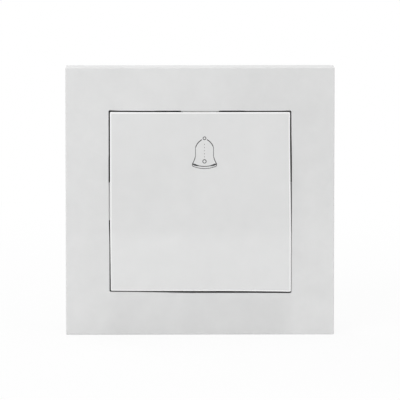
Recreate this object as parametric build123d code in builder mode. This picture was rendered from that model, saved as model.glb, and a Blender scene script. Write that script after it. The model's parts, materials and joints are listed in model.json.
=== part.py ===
from build123d import *
from math import radians
import os

os.makedirs("parts", exist_ok=True)

# Flush bell push. X is to the right, Z is up, the room is towards -Y, the wall face is y = 0.

# Frame
FRAME_W = 81.0
FRAME_DEPTH = 9.0
FRAME_PLATE = 2.0
FRAME_WALL = 2.0
FRAME_ROUND = 0.6
OPENING_W = 55.0
OPENING_CORNER = 0.8
OPENING_EDGE = 0.15
COLLAR_WALL = 2.0
COLLAR_DEPTH = 3.0
COLLAR_CLEAR = 0.4
PAD_W = 11.4
PAD_T = 0.26
PAD_SETBACK = 0.3
FRAME_RIB_T = 1.0
FRAME_RIB_AT = 14.0
SNAP_W = 8.0
SNAP_T = 1.0
SNAP_AT = 19.5

# Key
KEY_GAP = 0.4
KEY_PROUD = 0.5
KEY_PLATE = 1.8
KEY_CORNER = 0.5
KEY_EDGE = 0.3
SKIRT_INSET = 0.5
SKIRT_WALL = 1.2
SKIRT_DEPTH = 2.4
SKIRT_CLEAR = 0.6
HOOK_W = 5.0
HOOK_T = 1.2
HOOK_AT = 8.0
HOOK_BARB = 0.8
HOOK_BARB_T = 0.7
HOOK_CLEAR = 0.05

# Bell symbol
SYMBOL_X = 1.35
SYMBOL_Z = 14.9
SYMBOL_DEPTH = 0.15
SYMBOL_SINK = 0.02
BELL_LINE = 0.16
BELL_RIM_LINE = 0.25
BELL_HALF = 2.72
BELL_RIM_HALF = 3.65
BELL_TOP = 3.9
BELL_TOP_HALF = 0.75
BELL_SHOULDER_U = 1.84
BELL_SHOULDER_V = 3.04
BELL_SPRING_V = 1.4
BELL_WAIST_V = -1.05
BELL_FLARE_U = 3.0
BELL_FLARE_V = -2.1
BELL_RIM_V = -3.42
BELL_RIM_SAG = 0.77
BELL_RIM_T = 0.66
BELL_KNOB_R = 0.55
BELL_KNOB_V = 4.32
BELL_CLAPPER_R = 0.58
BELL_CLAPPER_V = -2.68
BELL_DASH_W = 0.08
BELL_DASH_L = 0.45
BELL_DASHES = 5
BELL_DASH_TOP = 2.45
BELL_DASH_PITCH = 0.94

# Yoke
YOKE_W = 71.0
YOKE_T = 1.0
YOKE_CROP = 10.0
YOKE_CLEAR = 0.3
YOKE_OPEN_X = 26.0
YOKE_OPEN_Z = 38.0
FIXING_SPAN = 60.0
FIXING_SLOT_W = 4.2
FIXING_SLOT_L = 8.0
FIXING_HEAD_D = 7.0

# Mechanism cover
COVER_PLATE = 1.8
COVER_CORNER = 1.2
LIP_WALL = 1.1
LIP_RISE = 2.2
LIP_WINDOW = 27.0
NOTCH_W = 10.0
NOTCH_CLEAR = 0.85
NOTCH_REACH = 12.0
PIVOT_RISE = 2.0
EAR_T = 3.0
EAR_WALL = 1.0
STOP_W = 3.0
STOP_X = 9.0
STOP_Z = 14.5
STOP_CLEAR = 0.1

# Rocker lever
LEVER_W = 26.0
LEVER_PLATE = 1.8
LEVER_REACH = 18.0
LEVER_SIDE_CLEAR = 0.2
TRUNNION_D = 3.2
TRUNNION_CLEAR = 0.05
NOSE_R = 1.8
NOSE_W = 5.0
PRESS_DEG = 4.5

# Plunger and contacts
PLUNGER_ARM = 14.0
PLUNGER_D = 5.8
PLUNGER_CLEAR = 0.1
PLUNGER_GAP = 0.05
PLUNGER_LENGTH = 10.4
PLUNGER_TAIL_D = 3.6
PLUNGER_TAIL = 3.2
GUIDE_WALL = 1.4
GUIDE_LENGTH = 3.0
BRIDGE_L = 24.0
BRIDGE_W = 6.0
BRIDGE_T = 1.0
CONTACT_D = 3.2
CONTACT_T = 0.8
CONTACT_OVER = 0.02
STRIP_W = 6.0
STRIP_T = 1.0
SPRING_R = 2.5
SPRING_WIRE_R = 0.25
SPRING_LENGTH = 7.7
SPRING_TURNS = 6
SPRING_TOUCH = 0.01

# Terminals
TERMINAL_X = 9.5
TERMINAL_Z = 7.5
BLOCK_W = 8.0
BLOCK_H = 8.5
WIRE_BORE_D = 3.0
WIRE_BORE_L = 8.5
WIRE_ENTRY_CLEAR = 0.2
WIRE_FUNNEL_R = 2.8
TERMINAL_SCREW_D = 3.0
TERMINAL_SCREW_BACK = 4.5
TERMINAL_SCREW_CLEAR = 0.1
TERMINAL_HEAD_D = 4.8
TERMINAL_HEAD_T = 2.0
TERMINAL_NECK = 2.6
TERMINAL_THREAD_CLEAR = 0.05
TERMINAL_TIP_L = 0.9
TERMINAL_TIP_D = 1.8
SCREW_ACCESS_CLEAR = 0.8
BLOCK_RIB_T = 1.2
BLOCK_RIB_RISE = 6.0
BLOCK_CLEAR = 0.1
DRIVE_SLOT = 0.8

# Housing
HOUSING_X = 42.0
HOUSING_Z = 40.0
HOUSING_DEPTH = 24.0
HOUSING_WALL = 1.6
HOUSING_FLOOR = 2.0
HOUSING_CROP = 5.0
HOUSING_ROUND = 0.8
POST_W = 5.5
SEAT_D = 8.0
SPIGOT_D = 3.4
SPIGOT_RISE = 2.6
BARRIER_T = 1.4
BARRIER_LAP = 0.5

# Cover screws
COVER_SCREW_D = 2.4
COVER_SCREW_L = 11.0
COVER_HEAD_D = 4.4
COVER_HEAD_T = 1.1
COVER_SCREW_CLEAR = 0.2

# Claws
CLAW_W = 8.4
CLAW_T = 1.2
CLAW_GAP = 0.5
CLAW_LENGTH = 17.6
CLAW_TOOTH = 3.6
CLAW_FRONT = 3.4
CLAW_PIN_UP = 2.2
CLAW_PIN_D = 2.0
CLAW_PIN_CLEAR = 0.05
CLAW_REACH = 4.5
CLAW_FLANGE = 9.0
CLAW_RIB_R = 1.2
CLAW_BEND = 0.8
CLAW_GUSSET = 11.0
LUG_T = 2.0
LUG_WALL = 1.2
LUG_CLEAR = 0.2
CLAW_SCREW_D = 3.0
CLAW_SCREW_L = 12.4
CLAW_SCREW_CLEAR = 0.2
CLAW_HEAD_D = 5.5
CLAW_HEAD_T = 1.8
CLAW_HEAD_CLEAR = 0.05
CLAW_SLOT_CLEAR = 0.3
NUT_W = 5.5
NUT_T = 2.4
NUT_CLEAR = 0.05

# Depths along Y
frame_front = -FRAME_DEPTH
plate_back = frame_front + FRAME_PLATE
key_front = frame_front - KEY_PROUD
key_back = key_front + KEY_PLATE
skirt_end = key_back + SKIRT_DEPTH
cover_front = -YOKE_T - COVER_PLATE
lip_front = cover_front - LIP_RISE
pivot_y = cover_front - PIVOT_RISE
lever_back = key_back + LEVER_PLATE
nose_tip = lever_back + NOSE_R
plunger_front = nose_tip + PLUNGER_GAP
shoulder_y = plunger_front + PLUNGER_LENGTH
bridge_back = shoulder_y + BRIDGE_T
moving_face = bridge_back + CONTACT_T
plunger_travel = PLUNGER_ARM * radians(PRESS_DEG)
fixed_face = moving_face + plunger_travel + CONTACT_OVER
strip_front = fixed_face + CONTACT_T
strip_back = strip_front + STRIP_T
floor_y = HOUSING_DEPTH - HOUSING_FLOOR
seat_y = bridge_back + SPRING_LENGTH
wire_bore_end = floor_y - WIRE_BORE_L
terminal_screw_y = floor_y - TERMINAL_SCREW_BACK

# Half widths
frame_half = FRAME_W / 2
opening_half = OPENING_W / 2
key_half = opening_half - KEY_GAP
skirt_half = key_half - SKIRT_INSET
cover_half = skirt_half + SKIRT_CLEAR + LIP_WALL
collar_half = cover_half + COLLAR_CLEAR
lever_half = LEVER_W / 2
ear_in = lever_half + LEVER_SIDE_CLEAR
ear_out = ear_in + EAR_T
housing_half_x = HOUSING_X / 2
housing_half_z = HOUSING_Z / 2
post_x = housing_half_x - HOUSING_WALL - POST_W / 2
post_z = housing_half_z - HOUSING_WALL - POST_W / 2
trunnion_r = TRUNNION_D / 2
ear_r = trunnion_r + TRUNNION_CLEAR + EAR_WALL
guide_r = PLUNGER_D / 2 + PLUNGER_CLEAR
claw_in = housing_half_z + CLAW_GAP
claw_pin_z = housing_half_z + CLAW_PIN_UP
claw_screw_z = claw_pin_z + CLAW_REACH
claw_pin_y = CLAW_FRONT + CLAW_T / 2
claw_end = CLAW_FRONT + CLAW_LENGTH
nut_front = CLAW_FRONT + CLAW_T + CLAW_RIB_R + NUT_CLEAR
lug_in = CLAW_W / 2 + LUG_CLEAR
lug_out = lug_in + LUG_T
block_front = strip_back
block_low = TERMINAL_Z - BLOCK_H / 2
block_top = TERMINAL_Z + BLOCK_H / 2
terminal_screw_tip = TERMINAL_Z + WIRE_BORE_D / 2 + TERMINAL_SCREW_CLEAR
terminal_head_z = block_top + TERMINAL_NECK


def facing(y):
    """The plane parallel to the wall at depth y, drawn as it is seen from the room."""
    return Plane(origin=(0, y, 0), x_dir=(1, 0, 0), z_dir=(0, -1, 0))


def block(x, y, z, mode=Mode.ADD):
    """A box between the given limits along X, Y and Z."""
    with Locations(((x[0] + x[1]) / 2, (y[0] + y[1]) / 2, (z[0] + z[1]) / 2)):
        Box(x[1] - x[0], y[1] - y[0], z[1] - z[0], mode=mode)


def rod_x(r, x, y, z, mode=Mode.ADD):
    """A round rod along X between two limits."""
    with Locations(((x[0] + x[1]) / 2, y, z)):
        Cylinder(r, x[1] - x[0], rotation=(0, 90, 0), mode=mode)


def rod_y(r, x, y, z, mode=Mode.ADD):
    """A round rod along Y between two limits."""
    with Locations((x, (y[0] + y[1]) / 2, z)):
        Cylinder(r, y[1] - y[0], rotation=(90, 0, 0), mode=mode)


def rod_z(r, x, y, z, mode=Mode.ADD):
    """A round rod along Z between two limits."""
    with Locations((x, y, (z[0] + z[1]) / 2)):
        Cylinder(r, z[1] - z[0], mode=mode)


def sides(along, across, y, mode=Mode.ADD, which=("top", "bottom", "left", "right")):
    """The same box on several sides of a square: along runs on the side, across runs outwards."""
    if "top" in which:
        block(along, y, across, mode)
    if "bottom" in which:
        block(along, y, (-across[1], -across[0]), mode)
    if "right" in which:
        block(across, y, along, mode)
    if "left" in which:
        block((-across[1], -across[0]), y, along, mode)


def cross_recess(x, y, z, width, depth):
    """A cross for the driver in a screw head that faces the room at depth y."""
    for across, up in ((width, DRIVE_SLOT), (DRIVE_SLOT, width)):
        slot_x = (x - across / 2, x + across / 2)
        slot_z = (z - up / 2, z + up / 2)
        block(slot_x, (y, y + depth), slot_z, Mode.SUBTRACT)


# Frame: shallow box open to the wall, with a collar around the key opening.
with BuildPart() as frame:
    block((-frame_half, frame_half), (frame_front, 0), (-frame_half, frame_half))
    fillet(frame.edges().filter_by(Axis.Y) + frame.faces().sort_by(Axis.Y)[0].edges(), FRAME_ROUND)
    frame_in = frame_half - FRAME_WALL
    block((-frame_in, frame_in), (plate_back, 0), (-frame_in, frame_in), Mode.SUBTRACT)
    yoke_room = YOKE_W / 2 + YOKE_CLEAR
    block((-yoke_room, yoke_room), (-YOKE_T - YOKE_CLEAR, 0), (-yoke_room, yoke_room), Mode.SUBTRACT)
    with BuildSketch(facing(plate_back)):
        RectangleRounded(OPENING_W, OPENING_W, OPENING_CORNER)
    extrude(amount=FRAME_PLATE, mode=Mode.SUBTRACT)
    fillet(frame.faces().sort_by(Axis.Y)[0].inner_wires().edges(), OPENING_EDGE)
    with BuildSketch(facing(plate_back)):
        Rectangle(2 * (collar_half + COLLAR_WALL), 2 * (collar_half + COLLAR_WALL))
        Rectangle(2 * collar_half, 2 * collar_half, mode=Mode.SUBTRACT)
    extrude(amount=-COLLAR_DEPTH)
    collar_end = plate_back + COLLAR_DEPTH
    for at in (-FRAME_RIB_AT, FRAME_RIB_AT):
        rib = (at - FRAME_RIB_T / 2, at + FRAME_RIB_T / 2)
        sides(rib, (collar_half + COLLAR_WALL, frame_in), (plate_back, collar_end))
    pad = (-PAD_W / 2, PAD_W / 2)
    pad_depth = (frame_front + PAD_SETBACK, plate_back)
    sides(pad, (opening_half - PAD_T, opening_half), pad_depth, which=("top", "left", "right"))
    for at in (-SNAP_AT, SNAP_AT):
        snap = (at - SNAP_W / 2, at + SNAP_W / 2)
        sides(snap, (cover_half, collar_half), (collar_end - SNAP_T, collar_end))
frame.part.label = "frame"
export_step(frame.part, "parts/frame.step")

# Outline of the bell symbol, drawn on the front of the key.
rim_low = BELL_RIM_V - BELL_RIM_T
with BuildSketch(mode=Mode.PRIVATE) as bell:
    for side in (-1, 1):
        with BuildLine() as flank:
            shoulder = ThreePointArc(
                (side * BELL_TOP_HALF, BELL_TOP),
                (side * BELL_SHOULDER_U, BELL_SHOULDER_V),
                (side * BELL_HALF, BELL_SPRING_V),
            )
            waist = Line(shoulder @ 1, (side * BELL_HALF, BELL_WAIST_V))
            ThreePointArc(
                waist @ 1,
                (side * BELL_FLARE_U, BELL_FLARE_V),
                (side * BELL_RIM_HALF, BELL_RIM_V),
            )
        trace(flank.line, BELL_LINE)
    with BuildLine() as rim_top:
        ThreePointArc(
            (-BELL_RIM_HALF, BELL_RIM_V),
            (0, BELL_RIM_V - BELL_RIM_SAG),
            (BELL_RIM_HALF, BELL_RIM_V),
        )
    trace(rim_top.line, BELL_RIM_LINE)
    with BuildLine() as rim_base:
        right_end = Line((BELL_RIM_HALF, BELL_RIM_V), (BELL_RIM_HALF, rim_low))
        base = ThreePointArc(right_end @ 1, (0, rim_low - BELL_RIM_SAG), (-BELL_RIM_HALF, rim_low))
        Line(base @ 1, (-BELL_RIM_HALF, BELL_RIM_V))
    trace(rim_base.line, BELL_LINE)
    with Locations((0, BELL_KNOB_V)):
        Circle(BELL_KNOB_R)
        Circle(BELL_KNOB_R - BELL_LINE, mode=Mode.SUBTRACT)
    with Locations((0, BELL_CLAPPER_V)):
        Circle(BELL_CLAPPER_R)
        Circle(BELL_CLAPPER_R - BELL_LINE, mode=Mode.SUBTRACT)
    for dash in range(BELL_DASHES):
        with Locations((0, BELL_DASH_TOP - dash * BELL_DASH_PITCH)):
            Rectangle(BELL_DASH_W, BELL_DASH_L)
with BuildSketch(facing(key_front)) as bell_outline:
    with Locations((SYMBOL_X, SYMBOL_Z)):
        add(bell.sketch)

# Rocker key: thin cap with a skirt and four hooks that hold it on the lever.
with BuildPart() as rocker_cap:
    with BuildSketch(facing(key_back)):
        RectangleRounded(2 * key_half, 2 * key_half, KEY_CORNER)
    extrude(amount=KEY_PLATE)
    fillet(rocker_cap.faces().sort_by(Axis.Y)[0].edges(), KEY_EDGE)
    with BuildSketch(facing(key_back)):
        Rectangle(2 * skirt_half, 2 * skirt_half)
        Rectangle(2 * (skirt_half - SKIRT_WALL), 2 * (skirt_half - SKIRT_WALL), mode=Mode.SUBTRACT)
    extrude(amount=-SKIRT_DEPTH)
    hook_in = LEVER_REACH + HOOK_CLEAR
    barb_front = lever_back + HOOK_CLEAR
    for at in (-HOOK_AT, HOOK_AT):
        hook_x = (at - HOOK_W / 2, at + HOOK_W / 2)
        ends = ("top", "bottom")
        sides(hook_x, (hook_in, hook_in + HOOK_T), (key_back, barb_front + HOOK_BARB_T), which=ends)
        sides(hook_x, (hook_in - HOOK_BARB, hook_in), (barb_front, barb_front + HOOK_BARB_T), which=ends)
    extrude(bell_outline.sketch, amount=-SYMBOL_DEPTH, mode=Mode.SUBTRACT)
rocker_cap.part.label = "rocker_cap"
export_step(rocker_cap.part, "parts/rocker_cap.step")

# Printed bell symbol, set a hair below the face of the key.
with BuildPart() as bell_symbol:
    extrude(bell_outline.sketch, amount=-SYMBOL_DEPTH)
    face_cut = (key_front, key_front + SYMBOL_SINK)
    block((-key_half, key_half), face_cut, (-key_half, key_half), Mode.SUBTRACT)
bell_symbol.part.label = "bell_symbol"
export_step(bell_symbol.part, "parts/bell_symbol.step")

# Rocker lever: carries the key on two trunnions and presses the plunger with a rounded nose.
with BuildPart() as rocker_lever:
    block((-lever_half, lever_half), (key_back, lever_back), (-LEVER_REACH, LEVER_REACH))
    block((-lever_half, lever_half), (lever_back, pivot_y), (-trunnion_r, trunnion_r))
    rod_x(trunnion_r, (-ear_out, ear_out), pivot_y, 0)
    rod_x(NOSE_R, (-NOSE_W / 2, NOSE_W / 2), lever_back, -PLUNGER_ARM)
rocker_lever.part.label = "rocker_lever"
export_step(rocker_lever.part, "parts/rocker_lever.step")

# Mounting yoke: steel plate that lies against the wall.
with BuildPart() as mounting_yoke:
    with BuildSketch(facing(0)):
        Rectangle(YOKE_W, YOKE_W)
        Rectangle(YOKE_OPEN_X, YOKE_OPEN_Z, mode=Mode.SUBTRACT)
        with Locations((-FIXING_SPAN / 2, 0), (FIXING_SPAN / 2, 0)):
            SlotOverall(FIXING_SLOT_L, FIXING_SLOT_W, mode=Mode.SUBTRACT)
        with Locations((0, -claw_screw_z), (0, claw_screw_z)):
            Circle(CLAW_SCREW_D / 2 + CLAW_SCREW_CLEAR, mode=Mode.SUBTRACT)
        with GridLocations(2 * post_x, 2 * post_z, 2, 2):
            Circle(COVER_SCREW_D / 2 + COVER_SCREW_CLEAR, mode=Mode.SUBTRACT)
    extrude(amount=YOKE_T)
    outer = mounting_yoke.edges().filter_by(Axis.Y).sort_by(lambda e: abs(e.center().X) + abs(e.center().Z))
    chamfer(outer[-4:], YOKE_CROP)
mounting_yoke.part.label = "mounting_yoke"
export_step(mounting_yoke.part, "parts/mounting_yoke.step")

# Mechanism cover: front plate with lip, pivot ears, plunger guide and rest stops.
with BuildPart() as mechanism_cover:
    with BuildSketch(facing(-YOKE_T)):
        RectangleRounded(2 * cover_half, 2 * cover_half, COVER_CORNER)
    extrude(amount=COVER_PLATE + LIP_RISE)
    lip_in = cover_half - LIP_WALL
    block((-lip_in, lip_in), (lip_front, cover_front), (-lip_in, lip_in), Mode.SUBTRACT)
    window = (-LIP_WINDOW / 2, LIP_WINDOW / 2)
    sides(window, (lip_in, cover_half), (lip_front, cover_front), Mode.SUBTRACT)
    notch = (-NOTCH_W / 2, NOTCH_W / 2)
    claw_notch = claw_screw_z - CLAW_HEAD_D / 2 - NOTCH_CLEAR
    fixing_notch = FIXING_SPAN / 2 - FIXING_HEAD_D / 2 - NOTCH_CLEAR
    for notch_in, ends in ((claw_notch, ("top", "bottom")), (fixing_notch, ("left", "right"))):
        notch_out = notch_in + NOTCH_REACH
        sides(notch, (notch_in, notch_out), (lip_front, -YOKE_T), Mode.SUBTRACT, ends)
    for side in (-1, 1):
        ear = sorted((side * ear_in, side * ear_out))
        block(ear, (pivot_y, cover_front), (-ear_r, ear_r))
        rod_x(ear_r, ear, pivot_y, 0)
        rod_x(trunnion_r + TRUNNION_CLEAR, ear, pivot_y, 0, Mode.SUBTRACT)
        stop = (side * STOP_X - STOP_W / 2, side * STOP_X + STOP_W / 2)
        block(stop, (lever_back + STOP_CLEAR, cover_front), (STOP_Z - STOP_W / 2, STOP_Z + STOP_W / 2))
    guide_end = -YOKE_T + GUIDE_LENGTH
    rod_y(guide_r + GUIDE_WALL, 0, (-YOKE_T, guide_end), -PLUNGER_ARM)
    rod_y(guide_r, 0, (cover_front, guide_end), -PLUNGER_ARM, Mode.SUBTRACT)
    for x in (-post_x, post_x):
        for z in (-post_z, post_z):
            rod_y(COVER_SCREW_D / 2, x, (cover_front, -YOKE_T), z, Mode.SUBTRACT)
            rod_y(COVER_HEAD_D / 2, x, (cover_front, cover_front + COVER_HEAD_T), z, Mode.SUBTRACT)
mechanism_cover.part.label = "mechanism_cover"
export_step(mechanism_cover.part, "parts/mechanism_cover.step")

# Mechanism housing: deep box behind the yoke, with posts, contact supports and claw lugs.
with BuildPart() as mechanism_housing:
    with BuildSketch(facing(0)) as housing_outline:
        Rectangle(HOUSING_X, HOUSING_Z)
        chamfer(housing_outline.vertices(), HOUSING_CROP)
    extrude(amount=-HOUSING_DEPTH)
    back_edges = mechanism_housing.faces().sort_by(Axis.Y)[-1].edges()
    fillet(mechanism_housing.edges().filter_by(Axis.Y) + back_edges, HOUSING_ROUND)
    with BuildSketch(facing(0)):
        Rectangle(HOUSING_X - 2 * HOUSING_WALL, HOUSING_Z - 2 * HOUSING_WALL)
        with GridLocations(2 * post_x, 2 * post_z, 2, 2):
            Rectangle(POST_W, POST_W, mode=Mode.SUBTRACT)
    extrude(amount=-floor_y, mode=Mode.SUBTRACT)
    for x in (-post_x, post_x):
        for z in (-post_z, post_z):
            rod_y(COVER_SCREW_D / 2, x, (0, COVER_SCREW_L), z, Mode.SUBTRACT)
    rod_y(SEAT_D / 2, 0, (seat_y, floor_y), -PLUNGER_ARM)
    rod_y(SPIGOT_D / 2, 0, (seat_y - SPIGOT_RISE, seat_y), -PLUNGER_ARM)
    barrier_low = -PLUNGER_ARM + SEAT_D / 2 - BARRIER_LAP
    barrier_top = housing_half_z - HOUSING_WALL
    block((-BARRIER_T / 2, BARRIER_T / 2), (block_front, floor_y), (barrier_low, barrier_top))
    for side in (-1, 1):
        x = side * TERMINAL_X
        support_x = (x - STRIP_W / 2, x + STRIP_W / 2)
        support_z = (-PLUNGER_ARM - STRIP_W / 2, -PLUNGER_ARM + STRIP_W / 2)
        block(support_x, (strip_back, floor_y), support_z)
        for edge in (-1, 1):
            rib_in = x + edge * (BLOCK_W / 2 + BLOCK_CLEAR)
            rib_x = sorted((rib_in, rib_in + edge * BLOCK_RIB_T))
            block(rib_x, (floor_y - BLOCK_RIB_RISE, floor_y), (block_low, block_top))
        rod_y(WIRE_BORE_D / 2 + WIRE_ENTRY_CLEAR, x, (floor_y, HOUSING_DEPTH), TERMINAL_Z, Mode.SUBTRACT)
        with Locations(Plane(origin=(x, HOUSING_DEPTH, TERMINAL_Z), z_dir=(0, -1, 0))):
            Cone(
                WIRE_FUNNEL_R,
                WIRE_BORE_D / 2 + WIRE_ENTRY_CLEAR,
                HOUSING_FLOOR / 2,
                align=(Align.CENTER, Align.CENTER, Align.MIN),
                mode=Mode.SUBTRACT,
            )
        access = TERMINAL_HEAD_D / 2 + SCREW_ACCESS_CLEAR
        rod_z(access, x, terminal_screw_y, (barrier_top, housing_half_z), Mode.SUBTRACT)
        lug = sorted((side * lug_in, side * lug_out))
        lug_r = CLAW_PIN_D / 2 + LUG_WALL
        for up in (-1, 1):
            lug_z = sorted((up * housing_half_z, up * claw_pin_z))
            block(lug, (claw_pin_y - lug_r, claw_pin_y + lug_r), lug_z)
            rod_x(lug_r, lug, claw_pin_y, up * claw_pin_z)
            rod_x(CLAW_PIN_D / 2, lug, claw_pin_y, up * claw_pin_z, Mode.SUBTRACT)
mechanism_housing.part.label = "mechanism_housing"
export_step(mechanism_housing.part, "parts/mechanism_housing.step")

# Screws that hold cover, yoke and housing together.
with BuildPart() as cover_screws:
    for x in (-post_x, post_x):
        for z in (-post_z, post_z):
            rod_y(COVER_HEAD_D / 2, x, (cover_front, cover_front + COVER_HEAD_T), z)
            rod_y(COVER_SCREW_D / 2, x, (cover_front, COVER_SCREW_L), z)
            cross_recess(x, cover_front, z, COVER_SCREW_D, COVER_HEAD_T / 2)
cover_screws.part.label = "cover_screws"
export_step(cover_screws.part, "parts/cover_screws.step")

# Plunger: slides in the cover's guide and carries the contact bridge on its shoulder.
with BuildPart() as plunger:
    rod_y(PLUNGER_D / 2, 0, (plunger_front, shoulder_y), -PLUNGER_ARM)
    rod_y(PLUNGER_TAIL_D / 2, 0, (shoulder_y, shoulder_y + PLUNGER_TAIL), -PLUNGER_ARM)
plunger.part.label = "plunger"
export_step(plunger.part, "parts/plunger.step")

# Contact bridge: flat bar that closes the circuit between the two strips.
with BuildPart() as contact_bridge:
    bridge_z = (-PLUNGER_ARM - BRIDGE_W / 2, -PLUNGER_ARM + BRIDGE_W / 2)
    block((-BRIDGE_L / 2, BRIDGE_L / 2), (shoulder_y, bridge_back), bridge_z)
    rod_y(PLUNGER_TAIL_D / 2, 0, (shoulder_y, bridge_back), -PLUNGER_ARM, Mode.SUBTRACT)
contact_bridge.part.label = "contact_bridge"
export_step(contact_bridge.part, "parts/contact_bridge.step")

# Contact rivets on the bridge and on the strips.
with BuildPart() as moving_contacts:
    for x in (-TERMINAL_X, TERMINAL_X):
        rod_y(CONTACT_D / 2, x, (bridge_back, moving_face), -PLUNGER_ARM)
moving_contacts.part.label = "moving_contacts"
export_step(moving_contacts.part, "parts/moving_contacts.step")

with BuildPart() as fixed_contacts:
    for x in (-TERMINAL_X, TERMINAL_X):
        rod_y(CONTACT_D / 2, x, (fixed_face, strip_front), -PLUNGER_ARM)
fixed_contacts.part.label = "fixed_contacts"
export_step(fixed_contacts.part, "parts/fixed_contacts.step")

# Return spring around the plunger's tail.
with BuildPart() as return_spring:
    coil_start = bridge_back + SPRING_WIRE_R + SPRING_TOUCH
    coil_height = SPRING_LENGTH - 2 * (SPRING_WIRE_R + SPRING_TOUCH)
    with BuildLine() as coil:
        Helix(
            coil_height / SPRING_TURNS,
            coil_height,
            SPRING_R,
            center=(0, coil_start, -PLUNGER_ARM),
            direction=(0, 1, 0),
        )
    with BuildSketch(Plane(origin=coil.line @ 0, z_dir=coil.line % 0)):
        Circle(SPRING_WIRE_R)
    sweep(path=coil.line, is_frenet=True)
return_spring.part.label = "return_spring"
export_step(return_spring.part, "parts/return_spring.step")


def contact_strip(side):
    """The strip that leads from a fixed contact to its terminal block."""
    x = side * TERMINAL_X
    strip_z = (-PLUNGER_ARM - STRIP_W / 2, block_top)
    with BuildPart() as strip:
        block((x - STRIP_W / 2, x + STRIP_W / 2), (strip_front, strip_back), strip_z)
    return strip


def terminal_block(side):
    """A brass block with a bore for the wire and a tapped hole for the clamping screw."""
    x = side * TERMINAL_X
    with BuildPart() as body:
        block((x - BLOCK_W / 2, x + BLOCK_W / 2), (block_front, floor_y), (block_low, block_top))
        rod_y(WIRE_BORE_D / 2, x, (wire_bore_end, floor_y), TERMINAL_Z, Mode.SUBTRACT)
        tapped_r = TERMINAL_SCREW_D / 2 + TERMINAL_THREAD_CLEAR
        rod_z(tapped_r, x, terminal_screw_y, (TERMINAL_Z, block_top), Mode.SUBTRACT)
    return body


def terminal_screw(side):
    """A clamping screw, backed out so that the wire bore is open."""
    x = side * TERMINAL_X
    head_top = terminal_head_z + TERMINAL_HEAD_T
    with BuildPart() as screw:
        rod_z(TERMINAL_SCREW_D / 2, x, terminal_screw_y, (terminal_screw_tip + TERMINAL_TIP_L, head_top))
        with Locations((x, terminal_screw_y, terminal_screw_tip + TERMINAL_TIP_L / 2)):
            Cone(TERMINAL_TIP_D / 2, TERMINAL_SCREW_D / 2, TERMINAL_TIP_L)
        rod_z(TERMINAL_HEAD_D / 2, x, terminal_screw_y, (terminal_head_z, head_top))
        slot_x = (x - TERMINAL_HEAD_D / 2, x + TERMINAL_HEAD_D / 2)
        slot_y = (terminal_screw_y - DRIVE_SLOT / 2, terminal_screw_y + DRIVE_SLOT / 2)
        block(slot_x, slot_y, (head_top - TERMINAL_HEAD_T / 2, head_top), Mode.SUBTRACT)
    return screw


contact_strip_left = contact_strip(-1)
contact_strip_left.part.label = "contact_strip_left"
export_step(contact_strip_left.part, "parts/contact_strip_left.step")

contact_strip_right = contact_strip(1)
contact_strip_right.part.label = "contact_strip_right"
export_step(contact_strip_right.part, "parts/contact_strip_right.step")

terminal_block_left = terminal_block(-1)
terminal_block_left.part.label = "terminal_block_left"
export_step(terminal_block_left.part, "parts/terminal_block_left.step")

terminal_block_right = terminal_block(1)
terminal_block_right.part.label = "terminal_block_right"
export_step(terminal_block_right.part, "parts/terminal_block_right.step")

terminal_screw_left = terminal_screw(-1)
terminal_screw_left.part.label = "terminal_screw_left"
export_step(terminal_screw_left.part, "parts/terminal_screw_left.step")

terminal_screw_right = terminal_screw(1)
terminal_screw_right.part.label = "terminal_screw_right"
export_step(terminal_screw_right.part, "parts/terminal_screw_right.step")

# Upper claw: bent strip with a forked flange, gusset cheeks and a toothed tip.
with BuildPart() as claw_top:
    claw_half = CLAW_W / 2
    fork_half = CLAW_SCREW_D / 2 + CLAW_SLOT_CLEAR
    cheek_in = claw_half - CLAW_T
    flange_back = CLAW_FRONT + CLAW_T
    flange_top = claw_in + CLAW_FLANGE
    tip = (claw_end - CLAW_T, claw_end)
    block((-claw_half, claw_half), (CLAW_FRONT, claw_end), (claw_in, claw_in + CLAW_T))
    block((-claw_half, claw_half), (CLAW_FRONT, flange_back), (claw_in, flange_top))
    block((-claw_half, claw_half), tip, (claw_in, claw_in + CLAW_TOOTH))
    for side in (-1, 1):
        with BuildSketch(Plane.YZ.offset(side * (cheek_in + CLAW_T / 2))):
            with BuildLine():
                Polyline(
                    (CLAW_FRONT, claw_in),
                    (CLAW_FRONT, flange_top),
                    (flange_back + NUT_T, flange_top),
                    (CLAW_FRONT + CLAW_GUSSET, claw_in + CLAW_T),
                    (CLAW_FRONT + CLAW_GUSSET, claw_in),
                    close=True,
                )
            make_face()
        extrude(amount=CLAW_T / 2, both=True)
        rib = sorted((side * fork_half, side * cheek_in))
        rod_x(CLAW_RIB_R, rib, flange_back, claw_screw_z)
        tooth = sorted((side * claw_half / 3, side * claw_half * 2 / 3))
        block(tooth, tip, (claw_in + CLAW_TOOTH / 2, claw_in + CLAW_TOOTH), Mode.SUBTRACT)
    front_cut = (CLAW_FRONT - CLAW_RIB_R, CLAW_FRONT)
    block((-claw_half, claw_half), front_cut, (claw_in, flange_top), Mode.SUBTRACT)
    fork_z = (claw_screw_z - fork_half, flange_top)
    block((-fork_half, fork_half), (CLAW_FRONT, flange_back + CLAW_RIB_R), fork_z, Mode.SUBTRACT)
    rod_x(CLAW_PIN_D / 2 + CLAW_PIN_CLEAR, (-claw_half, claw_half), claw_pin_y, claw_pin_z, Mode.SUBTRACT)
    bend = claw_top.edges().filter_by(Axis.X).sort_by_distance((0, CLAW_FRONT, claw_in))[0]
    fillet(bend, CLAW_BEND)
claw_top.part.label = "claw_top"
export_step(claw_top.part, "parts/claw_top.step")

with BuildPart() as claw_bottom:
    mirror(claw_top.part, about=Plane.XY)
claw_bottom.part.label = "claw_bottom"
export_step(claw_bottom.part, "parts/claw_bottom.step")


def claw_pin(up):
    """The pin that a claw swings on, held in the housing's lugs."""
    with BuildPart() as pin:
        rod_x(CLAW_PIN_D / 2, (-lug_out, lug_out), claw_pin_y, up * claw_pin_z)
    return pin


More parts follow.
